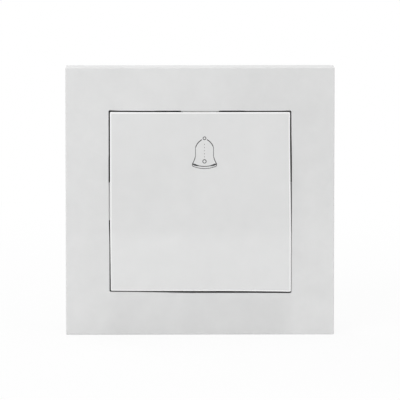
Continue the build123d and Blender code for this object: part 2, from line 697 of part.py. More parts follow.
def claw_screw(up):
    """The screw that draws the nut towards the yoke and so spreads the claw."""
    z = up * claw_screw_z
    head_back = -YOKE_T - CLAW_HEAD_CLEAR
    head_front = head_back - CLAW_HEAD_T
    with BuildPart() as screw:
        rod_y(CLAW_HEAD_D / 2, 0, (head_front, head_back), z)
        rod_y(CLAW_SCREW_D / 2, 0, (head_front, CLAW_SCREW_L - YOKE_T), z)
        cross_recess(0, head_front, z, CLAW_SCREW_D, CLAW_HEAD_T / 2)
    return screw


def claw_nut(up):
    """The square nut behind a claw's flange, kept from turning by the cheeks."""
    z = up * claw_screw_z
    nut = (-NUT_W / 2, NUT_W / 2)
    with BuildPart() as body:
        block(nut, (nut_front, nut_front + NUT_T), (z - NUT_W / 2, z + NUT_W / 2))
        rod_y(CLAW_SCREW_D / 2 + NUT_CLEAR, 0, (nut_front, nut_front + NUT_T), z, Mode.SUBTRACT)
    return body


claw_pin_top = claw_pin(1)
claw_pin_top.part.label = "claw_pin_top"
export_step(claw_pin_top.part, "parts/claw_pin_top.step")

claw_pin_bottom = claw_pin(-1)
claw_pin_bottom.part.label = "claw_pin_bottom"
export_step(claw_pin_bottom.part, "parts/claw_pin_bottom.step")

claw_screw_top = claw_screw(1)
claw_screw_top.part.label = "claw_screw_top"
export_step(claw_screw_top.part, "parts/claw_screw_top.step")

claw_screw_bottom = claw_screw(-1)
claw_screw_bottom.part.label = "claw_screw_bottom"
export_step(claw_screw_bottom.part, "parts/claw_screw_bottom.step")

claw_nut_top = claw_nut(1)
claw_nut_top.part.label = "claw_nut_top"
export_step(claw_nut_top.part, "parts/claw_nut_top.step")

claw_nut_bottom = claw_nut(-1)
claw_nut_bottom.part.label = "claw_nut_bottom"
export_step(claw_nut_bottom.part, "parts/claw_nut_bottom.step")
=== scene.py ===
"""Dresses the packed bell push.

It makes the moulded frame and key, the printed bell, the threaded screws and the spring, gives every part its
finish and sets up a plain stage.
"""

import json
import math

import bmesh
import bpy
import numpy as np
from bpy.props import FloatProperty, FloatVectorProperty, IntProperty, PointerProperty
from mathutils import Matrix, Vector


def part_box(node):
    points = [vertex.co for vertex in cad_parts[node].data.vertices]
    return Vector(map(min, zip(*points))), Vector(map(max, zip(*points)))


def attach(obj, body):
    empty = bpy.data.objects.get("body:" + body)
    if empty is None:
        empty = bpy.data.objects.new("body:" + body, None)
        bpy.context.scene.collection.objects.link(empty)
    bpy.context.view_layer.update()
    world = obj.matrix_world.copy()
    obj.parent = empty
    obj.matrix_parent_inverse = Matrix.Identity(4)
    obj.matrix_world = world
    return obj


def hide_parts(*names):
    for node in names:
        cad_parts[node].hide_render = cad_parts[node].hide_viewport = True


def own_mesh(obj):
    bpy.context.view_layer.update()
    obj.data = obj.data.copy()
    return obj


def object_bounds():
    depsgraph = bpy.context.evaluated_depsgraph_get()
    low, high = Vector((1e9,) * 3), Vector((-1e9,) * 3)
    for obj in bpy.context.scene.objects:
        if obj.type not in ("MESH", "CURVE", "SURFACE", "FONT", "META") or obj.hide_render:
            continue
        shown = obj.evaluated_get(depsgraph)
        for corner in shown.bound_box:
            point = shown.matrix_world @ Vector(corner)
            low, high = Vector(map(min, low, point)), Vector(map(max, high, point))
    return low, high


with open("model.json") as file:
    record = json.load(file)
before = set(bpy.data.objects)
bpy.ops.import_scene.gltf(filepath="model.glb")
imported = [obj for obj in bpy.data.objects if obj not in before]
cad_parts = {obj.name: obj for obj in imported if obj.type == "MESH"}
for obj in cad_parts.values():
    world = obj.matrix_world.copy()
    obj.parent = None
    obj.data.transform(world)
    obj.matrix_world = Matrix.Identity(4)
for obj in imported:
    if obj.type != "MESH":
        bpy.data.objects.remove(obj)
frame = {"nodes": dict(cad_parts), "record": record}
CAD_BOX = [list(corner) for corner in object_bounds()]

bl_info = {
    "name": "Bell push",
    "version": (1, 0, 0),
    "blender": (4, 5, 0),
    "location": "3D View > Sidebar > Bell push",
    "description": "Surfaces, finishes and stage of a flush bell push",
    "category": "Object",
}

MM = 0.001

# Places read from the packed model.
FRAME_LOW, FRAME_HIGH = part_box("frame")
KEY_LOW, KEY_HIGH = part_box("rocker_cap")
BELL_LOW, BELL_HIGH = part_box("bell_symbol")
LEVER_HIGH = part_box("rocker_lever")[1]
COVER_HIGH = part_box("mechanism_cover")[1]
HOUSING_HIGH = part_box("mechanism_housing")[1]

# How far a rib, pad or hook is sunk into what carries it.
ROOT = 0.05 * MM
# Distance of the extra rows that keep flat faces flat, and the shortest run that gets them.
BRACE = 0.04 * MM
BRACED_RUN = 4 * BRACE
# Tolerance for telling the rows of a section apart.
TINY = 0.001 * MM
# Points closer than this become one, and shorter edges vanish.
MERGE = 1e-7
VANISH = 1e-8
# Faces that meet at more than this angle keep a sharp edge.
SHARP = math.radians(40.0)

# Frame: chamfer at the wall, corner radii, roundings, the baffles' play and depth, and a hollow's slope.
RIM = 0.2 * MM
WALL_CORNER = 0.4 * MM
COLLAR_CORNER = 0.3 * MM
COLLAR_CORNER_OUT = 0.6 * MM
RIB_ROUND = 0.15 * MM
PAD_ROUND = 0.06 * MM
BAFFLE_ROUND = 0.1 * MM
BAFFLE_PLAY = 0.4 * MM
BAFFLE_DEPTH = 0.5 * MM
HOLLOW_SLOPE = 0.3 * MM
# Key: corners and chamfer of the skirt, rounding of the hooks, root of a barb, and the lever that they grip.
SKIRT_CORNER = 0.4 * MM
SKIRT_CORNER_IN = 0.3 * MM
SKIRT_EDGE = 0.15 * MM
HOOK_ROUND = 0.12 * MM
BARB_ROOT = 0.3 * MM
LEVER_PLATE = 1.8 * MM
# Bell: how much wider the rim's upper line grows near its ends.
RIM_SWELL = 1.25
# Screws: share of a claw screw's radius at its tip, neck of a terminal screw, and a slot's arms and slopes.
CLAW_TIP = 0.8
TERMINAL_NECK = 0.3 * MM
DRIVE_ARM = 0.62
DRIVE_SLOPE = 0.1 * MM

# Stretches along the opening's sides over which its edge moves. Lifts count to the left and the sides' own
# stretches downwards; over the last one the right hollow fades to a share of its depth.
OPENING_SIDE = (20 * MM, 27 * MM)
TOP_END = (24 * MM, 27 * MM)
TOP_LIFT = (10 * MM, 26 * MM)
BOTTOM_LIFT = (14 * MM, 26 * MM)
BOTTOM_HOLLOW = (-20 * MM, 0.0)
CORNER_HOLLOW = (14 * MM, 26 * MM)
LEFT_LEAN = (3 * MM, 14 * MM)
RIGHT_HOLLOW = (-26 * MM, -12 * MM)
RIGHT_FADE = (0.0, 15 * MM)
RIGHT_SHARE = 0.5
# The same for the key: its sides and its lower half downwards, the drop of its bottom edge to the right.
KEY_RIGHT_LEAN = (-24 * MM, 12 * MM)
KEY_LEFT_LEAN = (4 * MM, 30 * MM)
KEY_LOWER_HALF = (0.0, 25 * MM)
KEY_DROP = (-16 * MM, 0.0)

# Stage: half width of the floor, where it turns white, its shade near the object, and the light all around.
FLOOR_HALF = 4.0
FADE = (0.08, 0.35)
SHADOW = 0.12
FILL = (0.49, 0.49, 0.49)
# The soft boxes: name, place and side in metres, power in watts.
SOFT_BOXES = (
    ("soft_left", (-0.9, -1.6, 0.6), 1.2, 13.0),
    ("soft_right", (1.1, -1.3, 0.1), 1.0, 2.9),
    ("soft_top", (0.0, 0.1, 1.2), 1.0, 5.5),
    ("soft_back", (-0.8, 1.3, 0.7), 1.0, 5.0),
)


def length(name, description, size):
    """A size, given in millimetres, that is kept in metres and shown in the scene's unit."""
    return FloatProperty(name=name, description=description, default=size * MM, unit="LENGTH", precision=5)


def degrees(name, description, default):
    """An angle, given in degrees and kept in radians."""
    return FloatProperty(name=name, description=description, default=math.radians(default), subtype="ANGLE")


def colour(name, description, default):
    """A linear colour that the sidebar shows as a swatch."""
    return FloatVectorProperty(
        name=name, description=description, default=default, size=3, subtype="COLOR", min=0.0, max=1.0
    )


class FrameSizes(bpy.types.PropertyGroup):
    """Sizes of the cover frame."""

    half: length("Half width", "From the middle to the outer wall", FRAME_HIGH.x / MM)
    depth: length("Depth", "From the wall to the front face", -FRAME_LOW.y / MM)
    plate: length("Plate", "Thickness of the front plate", 2.0)
    wall: length("Wall", "Thickness of the outer wall", 2.0)
    outer_round: length("Outer rounding", "Radius of the outer front edges", 0.3)
    opening: length("Opening", "Half width of the opening for the key", 27.5)
    opening_corner: length("Opening corner", "Corner radius of the opening", 0.4)
    opening_edge: length("Opening edge", "Rounding of the opening's front edge", 0.1)
    collar_in: length("Collar", "Half width inside the collar", 28.7)
    collar_wall: length("Collar wall", "Thickness of the collar", 2.0)
    collar_depth: length("Collar depth", "How far the collar reaches behind the plate", 3.0)
    rib: length("Rib", "Thickness of the stiffening ribs", 1.0)
    rib_at: length("Rib place", "Distance of the ribs from the middle of a side", 14.0)
    pad_half: length("Pad", "Half length of the pads that centre the key", 5.7)
    pad_top: length("Top pad", "How far the top pad stands into the gap", 0.32)
    pad_left: length("Left pad", "How far the left pad stands into the gap", 0.26)
    pad_right: length("Right pad", "How far the right pad stands into the gap", 0.03)
    pad_setback: length("Pad setback", "Depth of the top and left pads below the front face", 0.3)
    pad_right_setback: length("Right pad setback", "Depth of the right pad below the front face", 1.2)
    baffle: length("Baffle", "How far the light baffles behind the left and right pads reach in", 0.6)
    hollow: length("Hollow", "Depth of the hollow above the left pad", 0.04)
    hollow_end: length("Hollow end", "Where a hollow beside a pad ends, from the middle of a side", 13.5)
    hollow_low: length("Bottom hollow", "Depth of the long hollow at the bottom right", 0.2)
    hollow_corner: length("Corner hollow", "How much deeper that hollow is at the corner", 0.05)
    hollow_right: length("Right hollow", "Depth of the long hollow at the right", 0.12)
    lean: length("Lean", "How far the top edge leans into the gap", 0.08)
    lean_low: length("Low lean", "How far the lower left edge leans into the gap", 0.19)
    lift_left: length("Left lift", "How far the left ends of the top and bottom edges stand higher", 0.1)
    snap: length("Snap", "Height of the snap ridges", 1.0)
    snap_half: length("Snap length", "Half length of the snap ridges", 4.0)
    snap_at: length("Snap place", "Distance of the snap ridges from the middle of a side", 19.5)


class KeySizes(bpy.types.PropertyGroup):
    """Sizes of the rocker key."""

    half: length("Half width", "From the middle to the key's edge", KEY_HIGH.x / MM)
    front: length("Front", "Place of the front face along Y", KEY_LOW.y / MM)
    plate: length("Plate", "Thickness of the key's plate", 1.8)
    corner: length("Corner", "Corner radius", 0.3)
    edge: length("Edge", "Rounding of the front edge", 0.22)
    dish: length("Dish", "How far the middle of the face lies below its edge", 0.05)
    lean_right: length("Right lean", "How far the lower right edge leans outwards", 0.36)
    lean_left: length("Left lean", "How far the lower left edge leans inwards", 0.18)
    drop: length("Drop", "How far the bottom edge lies lower", 0.05)
    drop_right: length("Right drop", "How much lower the right end of the bottom edge lies", 0.27)
    lift_left: length("Left lift", "How far the left end stands higher", 0.1)
    draft: length("Draft", "How far the key's wall leans inwards towards the back", 0.25)
    skirt_inset: length("Skirt inset", "Step from the key's edge to its skirt", 0.5)
    skirt_wall: length("Skirt wall", "Thickness of the skirt", 1.2)
    skirt_depth: length("Skirt depth", "How far the skirt reaches behind the plate", 2.4)
    hook_at: length("Hook place", "Distance of the hooks from the middle", 8.0)
    hook_half: length("Hook", "Half width of a hook", 2.5)
    hook: length("Hook thickness", "Thickness of a hook", 1.2)
    hook_play: length("Hook play", "Clearance between hook and lever", 0.05)
    barb: length("Barb", "How far a hook's barb grips under the lever", 0.8)
    barb_height: length("Barb height", "Height of a hook's barb", 0.7)


class BellSizes(bpy.types.PropertyGroup):
    """Sizes of the printed bell."""

    line: length("Side line", "Width of the lines along the bell's sides", 0.16)
    dome_line: length("Dome line", "Width of the dome's line", 0.28)
    flare_line: length("Flare line", "Width of the line along the flare", 0.24)
    rim_line: length("Rim line", "Width of the line along the top of the rim", 0.25)
    base_line: length("Base line", "Width of the line along the bottom of the rim", 0.2)
    ring_line: length("Ring line", "Width of the lines of knob and clapper", 0.24)
    film: length("Ink film", "Height of the ink above the key", 0.008)
    half: length("Body", "Half width of the bell's body", 2.72)
    top: length("Top", "Height of the dome's ends beside the knob", 3.9)
    top_half: length("Dome ends", "Half distance between the dome's ends", 0.75)
    shoulder_out: length("Shoulder out", "Half width at the shoulder", 1.84)
    shoulder_up: length("Shoulder up", "Height of the shoulder", 3.04)
    spring_up: length("Spring", "Height where the dome meets the sides", 1.4)
    waist_up: length("Waist", "Height where the sides begin to flare", -1.05)
    flare_out: length("Flare out", "Half width in the middle of the flare", 3.0)
    flare_up: length("Flare up", "Height of the middle of the flare", -2.1)
    rim_half: length("Rim", "Half width of the rim", 3.65)
    rim_up: length("Rim place", "Height of the rim's ends", -3.42)
    rim_sag: length("Rim sag", "How far the rim bows down in the middle", 0.77)
    rim: length("Rim height", "Distance between the rim's two lines", 0.66)
    knob: length("Knob", "Radius of the knob", 0.55)
    knob_up: length("Knob place", "Height of the knob", 4.32)
    clapper: length("Clapper", "Radius of the clapper", 0.64)
    clapper_up: length("Clapper place", "Height of the clapper", -2.68)
    dash: length("Dash", "Length of a dash on the middle line", 0.3)
    dash_line: length("Dash line", "Width of a dash", 0.13)
    dash_top: length("First dash", "Height of the first dash", 2.45)
    dash_pitch: length("Dash pitch", "Distance between dashes", 0.94)
    dashes: IntProperty(name="Dashes", description="Number of dashes on the middle line", default=5, min=1)


class ScrewSizes(bpy.types.PropertyGroup):
    """Sizes of the screws' threads and heads."""

    pitch: length("Pitch", "Pitch of the screws' threads", 0.5)
    thread: length("Thread depth", "Depth of the threads", 0.28)
    head_round: length("Head rounding", "Rounding of a head's rim", 0.5)
    claw_head: length("Claw screw head", "Height of the claw screws' heads", 1.8)
    claw_shank: length("Claw screw", "Radius of the claw screws", 1.5)
    claw_neck: length("Claw screw neck", "Smooth length below a claw screw's head", 2.2)
    terminal_head: length("Terminal screw head", "Height of the terminal screws' heads", 2.0)
    terminal_shank: length("Terminal screw", "Radius of the terminal screws", 1.46)
    terminal_tip: length("Terminal screw tip", "Radius of the terminal screws' tips", 0.9)
    drive: length("Drive", "Width of a driver slot", 0.8)
    drive_depth: length("Drive depth", "Depth of a driver slot", 0.9)


class SpringSizes(bpy.types.PropertyGroup):
    """Sizes of the return spring."""

    wire: length("Wire", "Radius of the spring's wire", 0.25)
    turns: FloatProperty(name="Turns", description="Number of turns from end to end", default=6.0, min=2.0)


class FinishColours(bpy.types.PropertyGroup):
    """Colours of the finishes."""

    white: colour("White plastic", "Frame and key", (0.699, 0.7015, 0.7005))
    # Painted highlight: the pale line along the key's rounded edge, and faintly along the frame's outer edge,
    # stands in for light catching them.
    edge_highlight: colour("Key edge", "Polished edge of the key", (0.93, 0.93, 0.93))
    insert: colour("Insert plastic", "Cover plate and lever", (0.70, 0.70, 0.68))
    # Painted shade: the dark tone laid on the insert's rim where it shows through the gap around the key.
    gap_shade: colour("Dust", "Dust and grime in the gap around the key", (0.05, 0.048, 0.045))
    housing: colour("Housing plastic", "Deep housing", (0.36, 0.37, 0.385))
    ink: colour("Ink", "Printed bell", (0.03, 0.03, 0.032))
    plunger: colour("Plunger plastic", "Plunger", (0.05, 0.052, 0.056))
    zinc: colour("Zinc", "Yoke, claws and nuts", (0.56, 0.57, 0.58))
    spring: colour("Spring steel", "Return spring and pins", (0.46, 0.46, 0.47))
    screw: colour("Screw steel", "Screws", (0.62, 0.61, 0.58))
    brass: colour("Brass", "Contact parts and terminal blocks", (0.62, 0.42, 0.16))
    silver: colour("Silver", "Contact rivets", (0.78, 0.77, 0.74))


class StageSizes(bpy.types.PropertyGroup):
    """Sizes of the stage."""

    lens: FloatProperty(name="Lens", description="Focal length in millimetres", default=447.8, min=1.0)
    distance: length("Distance", "From the frame's face to the camera", 1500.0)
    pitch: degrees("Pitch", "How far the camera looks down", 6.4)
    yaw: degrees("Yaw", "How far the camera stands to the right", -0.8)
    aim_up: length("Aim", "How far above the middle of the frame the camera aims", 0.47)
    floor: colour("Floor", "Plain floor", (0.93, 0.93, 0.93))


SIZE_GROUPS = {
    "bell_push_frame": FrameSizes,
    "bell_push_key": KeySizes,
    "bell_push_bell": BellSizes,
    "bell_push_screws": ScrewSizes,
    "bell_push_spring": SpringSizes,
    "bell_push_finish": FinishColours,
    "bell_push_stage": StageSizes,
}


def math_node(operation, turned=False):
    """A method of Field that adds a Math node; turned swaps its two values."""

    def method(self, other=0.0):
        first, second = (other, self) if turned else (self, other)
        return self.shader.node("ShaderNodeMath", {"operation": operation}, {0: first, 1: second})

    return method


class Field:
    """A socket of a shader tree. Operators on it add Math nodes, so a mask reads as an expression.

    a | b is the larger of two values.
    """

    def __init__(self, shader, socket):
        self.shader = shader
        self.socket = socket

    __add__ = __radd__ = math_node("ADD")
    __sub__ = math_node("SUBTRACT")
    __rsub__ = math_node("SUBTRACT", turned=True)
    __mul__ = __rmul__ = math_node("MULTIPLY")
    __lt__ = math_node("LESS_THAN")
    __gt__ = math_node("GREATER_THAN")
    __or__ = __ror__ = math_node("MAXIMUM")
    __abs__ = math_node("ABSOLUTE")

    def __neg__(self):
        return self * -1.0

    def rise(self, low, high):
        """A mask that rises smoothly from 0 where the value is low to 1 where it is high."""
        values = {0: self, 1: low, 2: high}
        return self.shader.node("ShaderNodeMapRange", {"interpolation_type": "SMOOTHSTEP"}, values)


class Shader:
    """A node tree, emptied and filled anew, with one method that adds any node."""

    def __init__(self, tree):
        self.tree = tree
        tree.nodes.clear()

    def node(self, kind, settings=None, values=None, out=0):
        """Adds a node, its settings first, then each socket's value or link, and gives one output."""
        made = self.tree.nodes.new(kind)
        for key, setting in (settings or {}).items():
            setattr(made, key, setting)
        for key, value in (values or {}).items():
            if isinstance(value, Field):
                self.tree.links.new(value.socket, made.inputs[key])
            else:
                made.inputs[key].default_value = value
        if made.outputs:
            return Field(self, made.outputs[out])
        return None

    def place(self, stretch=(1.0, 1.0, 1.0)):
        """Object coordinates, stretched for one pattern."""
        spot = self.node("ShaderNodeTexCoord", out="Object")
        return self.node("ShaderNodeMapping", None, {"Vector": spot, "Scale": stretch})

    def axis(self, name):
        """One of the object coordinates."""
        return self.node("ShaderNodeSeparateXYZ", None, {"Vector": self.place()}, out=name)

    def noise(self, scale, detail=2.0, rough=0.5, stretch=(1.0, 1.0, 1.0)):
        """Smooth noise from 0 to 1, scale in waves per metre."""
        values = {"Vector": self.place(stretch), "Scale": scale, "Detail": detail, "Roughness": rough}
        return self.node("ShaderNodeTexNoise", None, values, out="Fac")

    def mix(self, mask, low, high):
        """Blends two colours by a mask; each is a Field or a plain colour."""
        ends = [end if isinstance(end, Field) else (*end, 1.0) for end in (low, high)]
        return self.node("ShaderNodeMix", {"data_type": "RGBA"}, {0: mask, 6: ends[0], 7: ends[1]}, out=2)

    def tint(self, mask, base, low, high):
        """A colour times low where the mask is 0 and times high where it is 1."""
        return self.mix(mask, shade(base, low), shade(base, high))

    def bump(self, height, strength, distance):
        """A normal from a height field; distance is in metres."""
        values = {"Height": height, "Strength": strength, "Distance": distance}
        return self.node("ShaderNodeBump", None, values)

    def surface(self, **values):
        """The Principled shader that ends a material."""
        named = {key.replace("_", " ").title(): value for key, value in values.items()}
        made = self.node("ShaderNodeBsdfPrincipled", None, named)
        self.node("ShaderNodeOutputMaterial", None, {"Surface": made})


def new_shader(name):
    """A fresh material and the shader that fills it."""
    material = bpy.data.materials.new(name)
    material.use_nodes = True
    return material, Shader(material.node_tree)


def shade(base, factor):
    """A colour made lighter or darker by one factor, or by one for each channel."""
    return tuple(np.minimum(np.multiply(base, factor), 1.0).tolist())


def white_moulding(shader, colours, cloudy, tone, edge):
    """Satin white moulding: faint clouds in the colour, a fine spark-eroded grain and uneven gloss.

    cloudy is the strength of the clouds, tone adds broad changes of tone, painted light and shade among them,
    and edge is the mask of a painted highlight along the edge.
    """
    clouds = shader.noise(48.0, 5.0, 0.6)
    mottle = shader.noise(210.0, 3.0, 0.6)
    grain = shader.noise(5200.0, 2.0, 0.6)
    ripple = shader.noise(420.0, 2.0)
    cloud = 0.5 + cloudy * (clouds + 0.6 * mottle - 0.8) + tone
    # Where edge is set, the colour turns to the painted edge highlight.
    shader.surface(
        base_color=shader.mix(edge, shader.tint(cloud, colours.white, 0.94, 1.06), colours.edge_highlight),
        roughness=0.36 + 0.10 * grain + 0.06 * clouds - 0.1 * edge,
        normal=shader.bump(grain + 0.8 * ripple, 0.10, 0.02 * MM),
    )


def white_plastic(shader, colours):
    """The frame: painted shade at its upper right, paler at its lower right, painted shadow below and right
    of the key.
    """
    x, z = shader.axis("X"), shader.axis("Z")
    down = -z
    # Painted shade: the upper right darker, as light from the left would leave it.
    dim = x.rise(2 * MM, 14 * MM) * z.rise(-4 * MM, 6 * MM)
    pale = x.rise(27 * MM, 29 * MM) * down.rise(2 * MM, 12 * MM)
    # Painted shadow of the key on the frame below it, deeper to the right.
    below = down.rise(28 * MM, 31 * MM) * (1 - abs(x).rise(23 * MM, 30 * MM)) * (0.75 + 7.0 * x)
    # Painted shade in a band beside the key's right edge, over its middle height.
    right = x.rise(27 * MM, 27.4 * MM) * (1 - x.rise(28 * MM, 35 * MM))
    beside = right * down.rise(-18 * MM, -6 * MM) * (1 - down.rise(8 * MM, 30 * MM))
    tone = 0.2 * pale - 0.22 * dim - 0.38 * below - 0.44 * beside
    # Faint painted highlight along the frame's outer edge.
    edge = 0.15 * (abs(x) | abs(z)).rise(FRAME_HIGH.x - 0.5 * MM, FRAME_HIGH.x)
    white_moulding(shader, colours, 1.1, tone, edge)


def key_plastic(shader, colours):
    """The key: painted light, paler to its top and on its lower third; a painted highlight on its rounded,
    skewed edge.
    """
    size = bpy.context.scene.bell_push_key
    x, z = shader.axis("X"), shader.axis("Z")
    down = -z
    # Painted light: paler over the upper half and the lower third of the face, darker across the middle.
    tone = 0.16 * z.rise(0.0, 26 * MM) + 0.44 * down.rise(7 * MM, 13 * MM) - 0.06
    right = x - size.lean_right * down.rise(*KEY_RIGHT_LEAN)
    off = (x | 0.0) * (1 / size.half)
    bottom = down - size.drop - size.drop_right * off * off
    inner = size.half - 2 * size.edge
    # Painted highlight along the key's rounded edge, following its skewed outline.
    edge = ((right | -x) | (z | bottom)).rise(inner, inner + 0.5 * size.edge)
    white_moulding(shader, colours, 0.75, tone, edge)


def insert_plastic(shader, colours):
    """Off-white technical plastic: speckles, coarse grain, flow lines, and painted shade along the key's gap.
    """
    clouds = shader.noise(160.0, 4.0)
    grain = shader.noise(3600.0, 3.0, 0.65)
    flow = shader.noise(260.0, 2.0, 0.5, (1.0, 1.0, 6.0))
    out = abs(shader.axis("X")) | abs(shader.axis("Z"))
    # Painted shade on the rim seen through the gap around the key, a little uneven.
    gap_shade = out.rise(KEY_HIGH.x - 1.4 * MM, KEY_HIGH.x - 0.7 * MM) * (0.8 + 0.2 * clouds)
    plain = shader.tint(0.6 * clouds + 0.4 * flow, colours.insert, 0.94, 1.05)
    shader.surface(
        base_color=shader.mix(gap_shade, plain, colours.gap_shade),
        roughness=0.44 + 0.14 * grain + 0.3 * gap_shade,
        normal=shader.bump(grain + 0.6 * flow, 0.18, 0.03 * MM),
    )


def housing_plastic(shader, colours):
    """Grey glass-filled plastic: pale speckle, a spark-eroded grain, ejector marks and a parting line."""
    pin_x, pin_z, pin = HOUSING_HIGH.x - 6.5 * MM, 13 * MM, 1.6 * MM
    ring_in, ring_out = 1.55 * MM, 1.8 * MM
    seam_y, seam_half = 2.4 * MM, 0.09 * MM
    speckle = shader.noise(2100.0, 3.0, 0.7)
    clouds = shader.noise(95.0, 4.0)
    grain = shader.noise(3000.0, 3.0, 0.7)
    off_x, off_z = abs(shader.axis("X")) - pin_x, abs(shader.axis("Z")) - pin_z
    squared = off_x * off_x + off_z * off_z
    y = shader.axis("Y")
    on_back = y > HOUSING_HIGH.y - 0.3 * MM
    pins = (squared < pin**2) * on_back
    ring = (squared < ring_out**2) * (squared > ring_in**2) * on_back
    seam = abs(y - seam_y) < seam_half
    tone = 0.35 * speckle + 0.65 * clouds - 0.35 * ring - 0.12 * pins - 0.2 * seam
    shader.surface(
        base_color=shader.tint(tone, colours.housing, 0.80, 1.18),
        roughness=0.46 + 0.18 * grain - 0.14 * pins,
        normal=shader.bump(grain * (1 - 0.8 * pins) - 2.5 * ring + 2.0 * seam, 0.3, 0.04 * MM),
    )


def plunger_plastic(shader, colours):
    """Dark grey plastic with lathe-like rings along its length."""
    rings = shader.noise(2400.0, 1.0, 0.5, (0.03, 1.0, 0.03))
    clouds = shader.noise(300.0, 3.0)
    shader.surface(
        base_color=shader.tint(clouds, colours.plunger, 0.8, 1.3),
        roughness=0.36 + 0.2 * rings,
        normal=shader.bump(rings, 0.2, 0.03 * MM),
    )


def ink(shader, colours):
    """Printed ink: a little uneven in tone, with the dots of the pad that laid it."""
    mottle = shader.noise(2600.0, 3.0, 0.6)
    shader.surface(
        base_color=shader.tint(mottle, colours.ink, 0.7, 1.35),
        roughness=0.5 + 0.2 * mottle,
        normal=shader.bump(mottle, 0.15, 0.01 * MM),
    )


def zinc_steel(shader, colours):
    """Zinc plated sheet: crystal spangle, rolling lines and a thin bluish to straw passivation."""
    cells = shader.node("ShaderNodeTexVoronoi", None, {"Vector": shader.place(), "Scale": 430.0}, out="Color")
    crystals = shader.node("ShaderNodeRGBToBW", None, {"Color": cells})
    lines = shader.noise(2600.0, 2.0, 0.6, (0.02, 1.0, 1.0))
    stain = shader.noise(70.0, 4.0, 0.6)
    tone = 0.45 * stain + 0.4 * crystals + 0.15 * lines
    shader.surface(
        base_color=shader.tint(tone, colours.zinc, (0.74, 0.80, 0.90), (1.22, 1.19, 1.08)),
        metallic=1.0,
        roughness=0.3 + 0.2 * crystals + 0.1 * lines,
        normal=shader.bump(lines + 0.6 * crystals, 0.16, 0.03 * MM),
    )


def spring_steel(shader, colours):
    """Drawn bright wire: fine lines and small dull patches."""
    lines = shader.noise(4200.0, 2.0, 0.6, (0.05, 1.0, 1.0))
    dull = shader.noise(700.0, 3.0)
    shader.surface(
        base_color=shader.tint(dull, colours.spring, 0.82, 1.12),
        metallic=1.0,
        roughness=0.20 + 0.18 * dull + 0.08 * lines,
        normal=shader.bump(lines, 0.10, 0.01 * MM),
    )


def screw_steel(shader, colours):
    """Bright zinc screws: pale yellow tint in patches and fine turning marks."""
    patch = shader.noise(900.0, 3.0, 0.6)
    marks = shader.noise(6500.0, 2.0, 0.6)
    shader.surface(
        base_color=shader.tint(patch, colours.screw, 0.9, (1.06, 1.0, 0.84)),
        metallic=1.0,
        roughness=0.20 + 0.18 * patch + 0.06 * marks,
        normal=shader.bump(marks, 0.10, 0.01 * MM),
    )


def brass(shader, colours):
    """Brass: milling lines, slight brown tarnish in the hollows of a broad noise."""
    lines = shader.noise(3800.0, 2.0, 0.6, (1.0, 0.03, 1.0))
    tarnish = shader.noise(260.0, 4.0, 0.6)
    shader.surface(
        base_color=shader.tint(tarnish, colours.brass, (0.68, 0.60, 0.52), 1.14),
        metallic=1.0,
        roughness=0.24 + 0.16 * tarnish + 0.08 * lines,
        normal=shader.bump(lines, 0.12, 0.02 * MM),
    )


def contact_silver(shader, colours):
    """Silver rivets: faint grey tarnish and a finely pressed surface."""
    tarnish = shader.noise(1500.0, 3.0)
    pressed = shader.noise(5200.0, 2.0)
    shader.surface(
        base_color=shader.tint(tarnish, colours.silver, 0.78, 1.08),
        metallic=1.0,
        roughness=0.18 + 0.2 * tarnish,
        normal=shader.bump(pressed, 0.08, 0.01 * MM),
    )


FILLS = (white_plastic, key_plastic, insert_plastic, housing_plastic, plunger_plastic, ink)
FILLS += (zinc_steel, spring_steel, screw_steel, brass, contact_silver)
FINISHES = {fill.__name__: fill for fill in FILLS}


def finish(look):
    """The material of one finish, made the first time it is asked for."""
    name = look + "_finish"
    material = bpy.data.materials.get(name)
    if material is None:
        material, shader = new_shader(name)
        FINISHES[look](shader, bpy.context.scene.bell_push_finish)
    return material


def smooth(value, low, high):
    """A smooth step from 0 at low to 1 at high: t * t * (3 - 2 t)."""
    part = np.clip((value - low) / (high - low), 0.0, 1.0)
    return part * part * (3 - 2 * part)


def round_angles(count):
    """Angles once round a circle, without the last that would repeat the first."""
    return np.linspace(0.0, 2 * math.pi, count, endpoint=False)


def circle_way(angle):
    """The unit vectors (cos a, sin a) of angles."""
    return np.stack([np.cos(angle), np.sin(angle)], -1)


def bow_points(centre, radius, start, end, count):
    """Points of an arc in a section: centre + radius * (cos a, sin a), a in degrees."""
    return np.asarray(centre) + radius * circle_way(np.radians(np.linspace(start, end, count)))


def three_point_arc(start, middle, end, count):
    """Points of the circle through three points, from the first to the last.

    The circle's centre is where the first point's bisectors with the other two meet.
    """
    a, b, c = (np.asarray(point, float) for point in (start, middle, end))
    centre = np.linalg.solve(2 * np.stack([b - a, c - a]), np.array([b @ b - a @ a, c @ c - a @ a]))
    angles = np.unwrap([math.atan2(*(point - centre)[::-1]) for point in (a, b, c)])
    return centre + np.linalg.norm(a - centre) * circle_way(np.linspace(angles[0], angles[2], count))


def with_corners(points, corner, at):
    """Gives each point (x, y) of a section its corner radius, corner + x - at: outlines stay parallel."""
    return np.insert(points, 1, corner + points[:, 0] - at, 1)


def braced(rows):
    """Adds a row close to each end of every long run of a section, so that flat faces shade flat."""
    rows = np.asarray(rows, float)
    step = np.diff(rows, axis=0)
    run = np.linalg.norm(step[:, [0, -1]], axis=1, keepdims=True)
    part = np.full_like(run, np.nan)
    np.divide(BRACE, run, out=part, where=run > BRACED_RUN)
    near, far = rows[:-1] + part * step, rows[1:] - part * step
    mixed = np.stack([rows[:-1], near, far], 1).reshape(-1, rows.shape[1])
    return np.concatenate([mixed[~np.isnan(mixed[:, 0])], rows[-1:]])


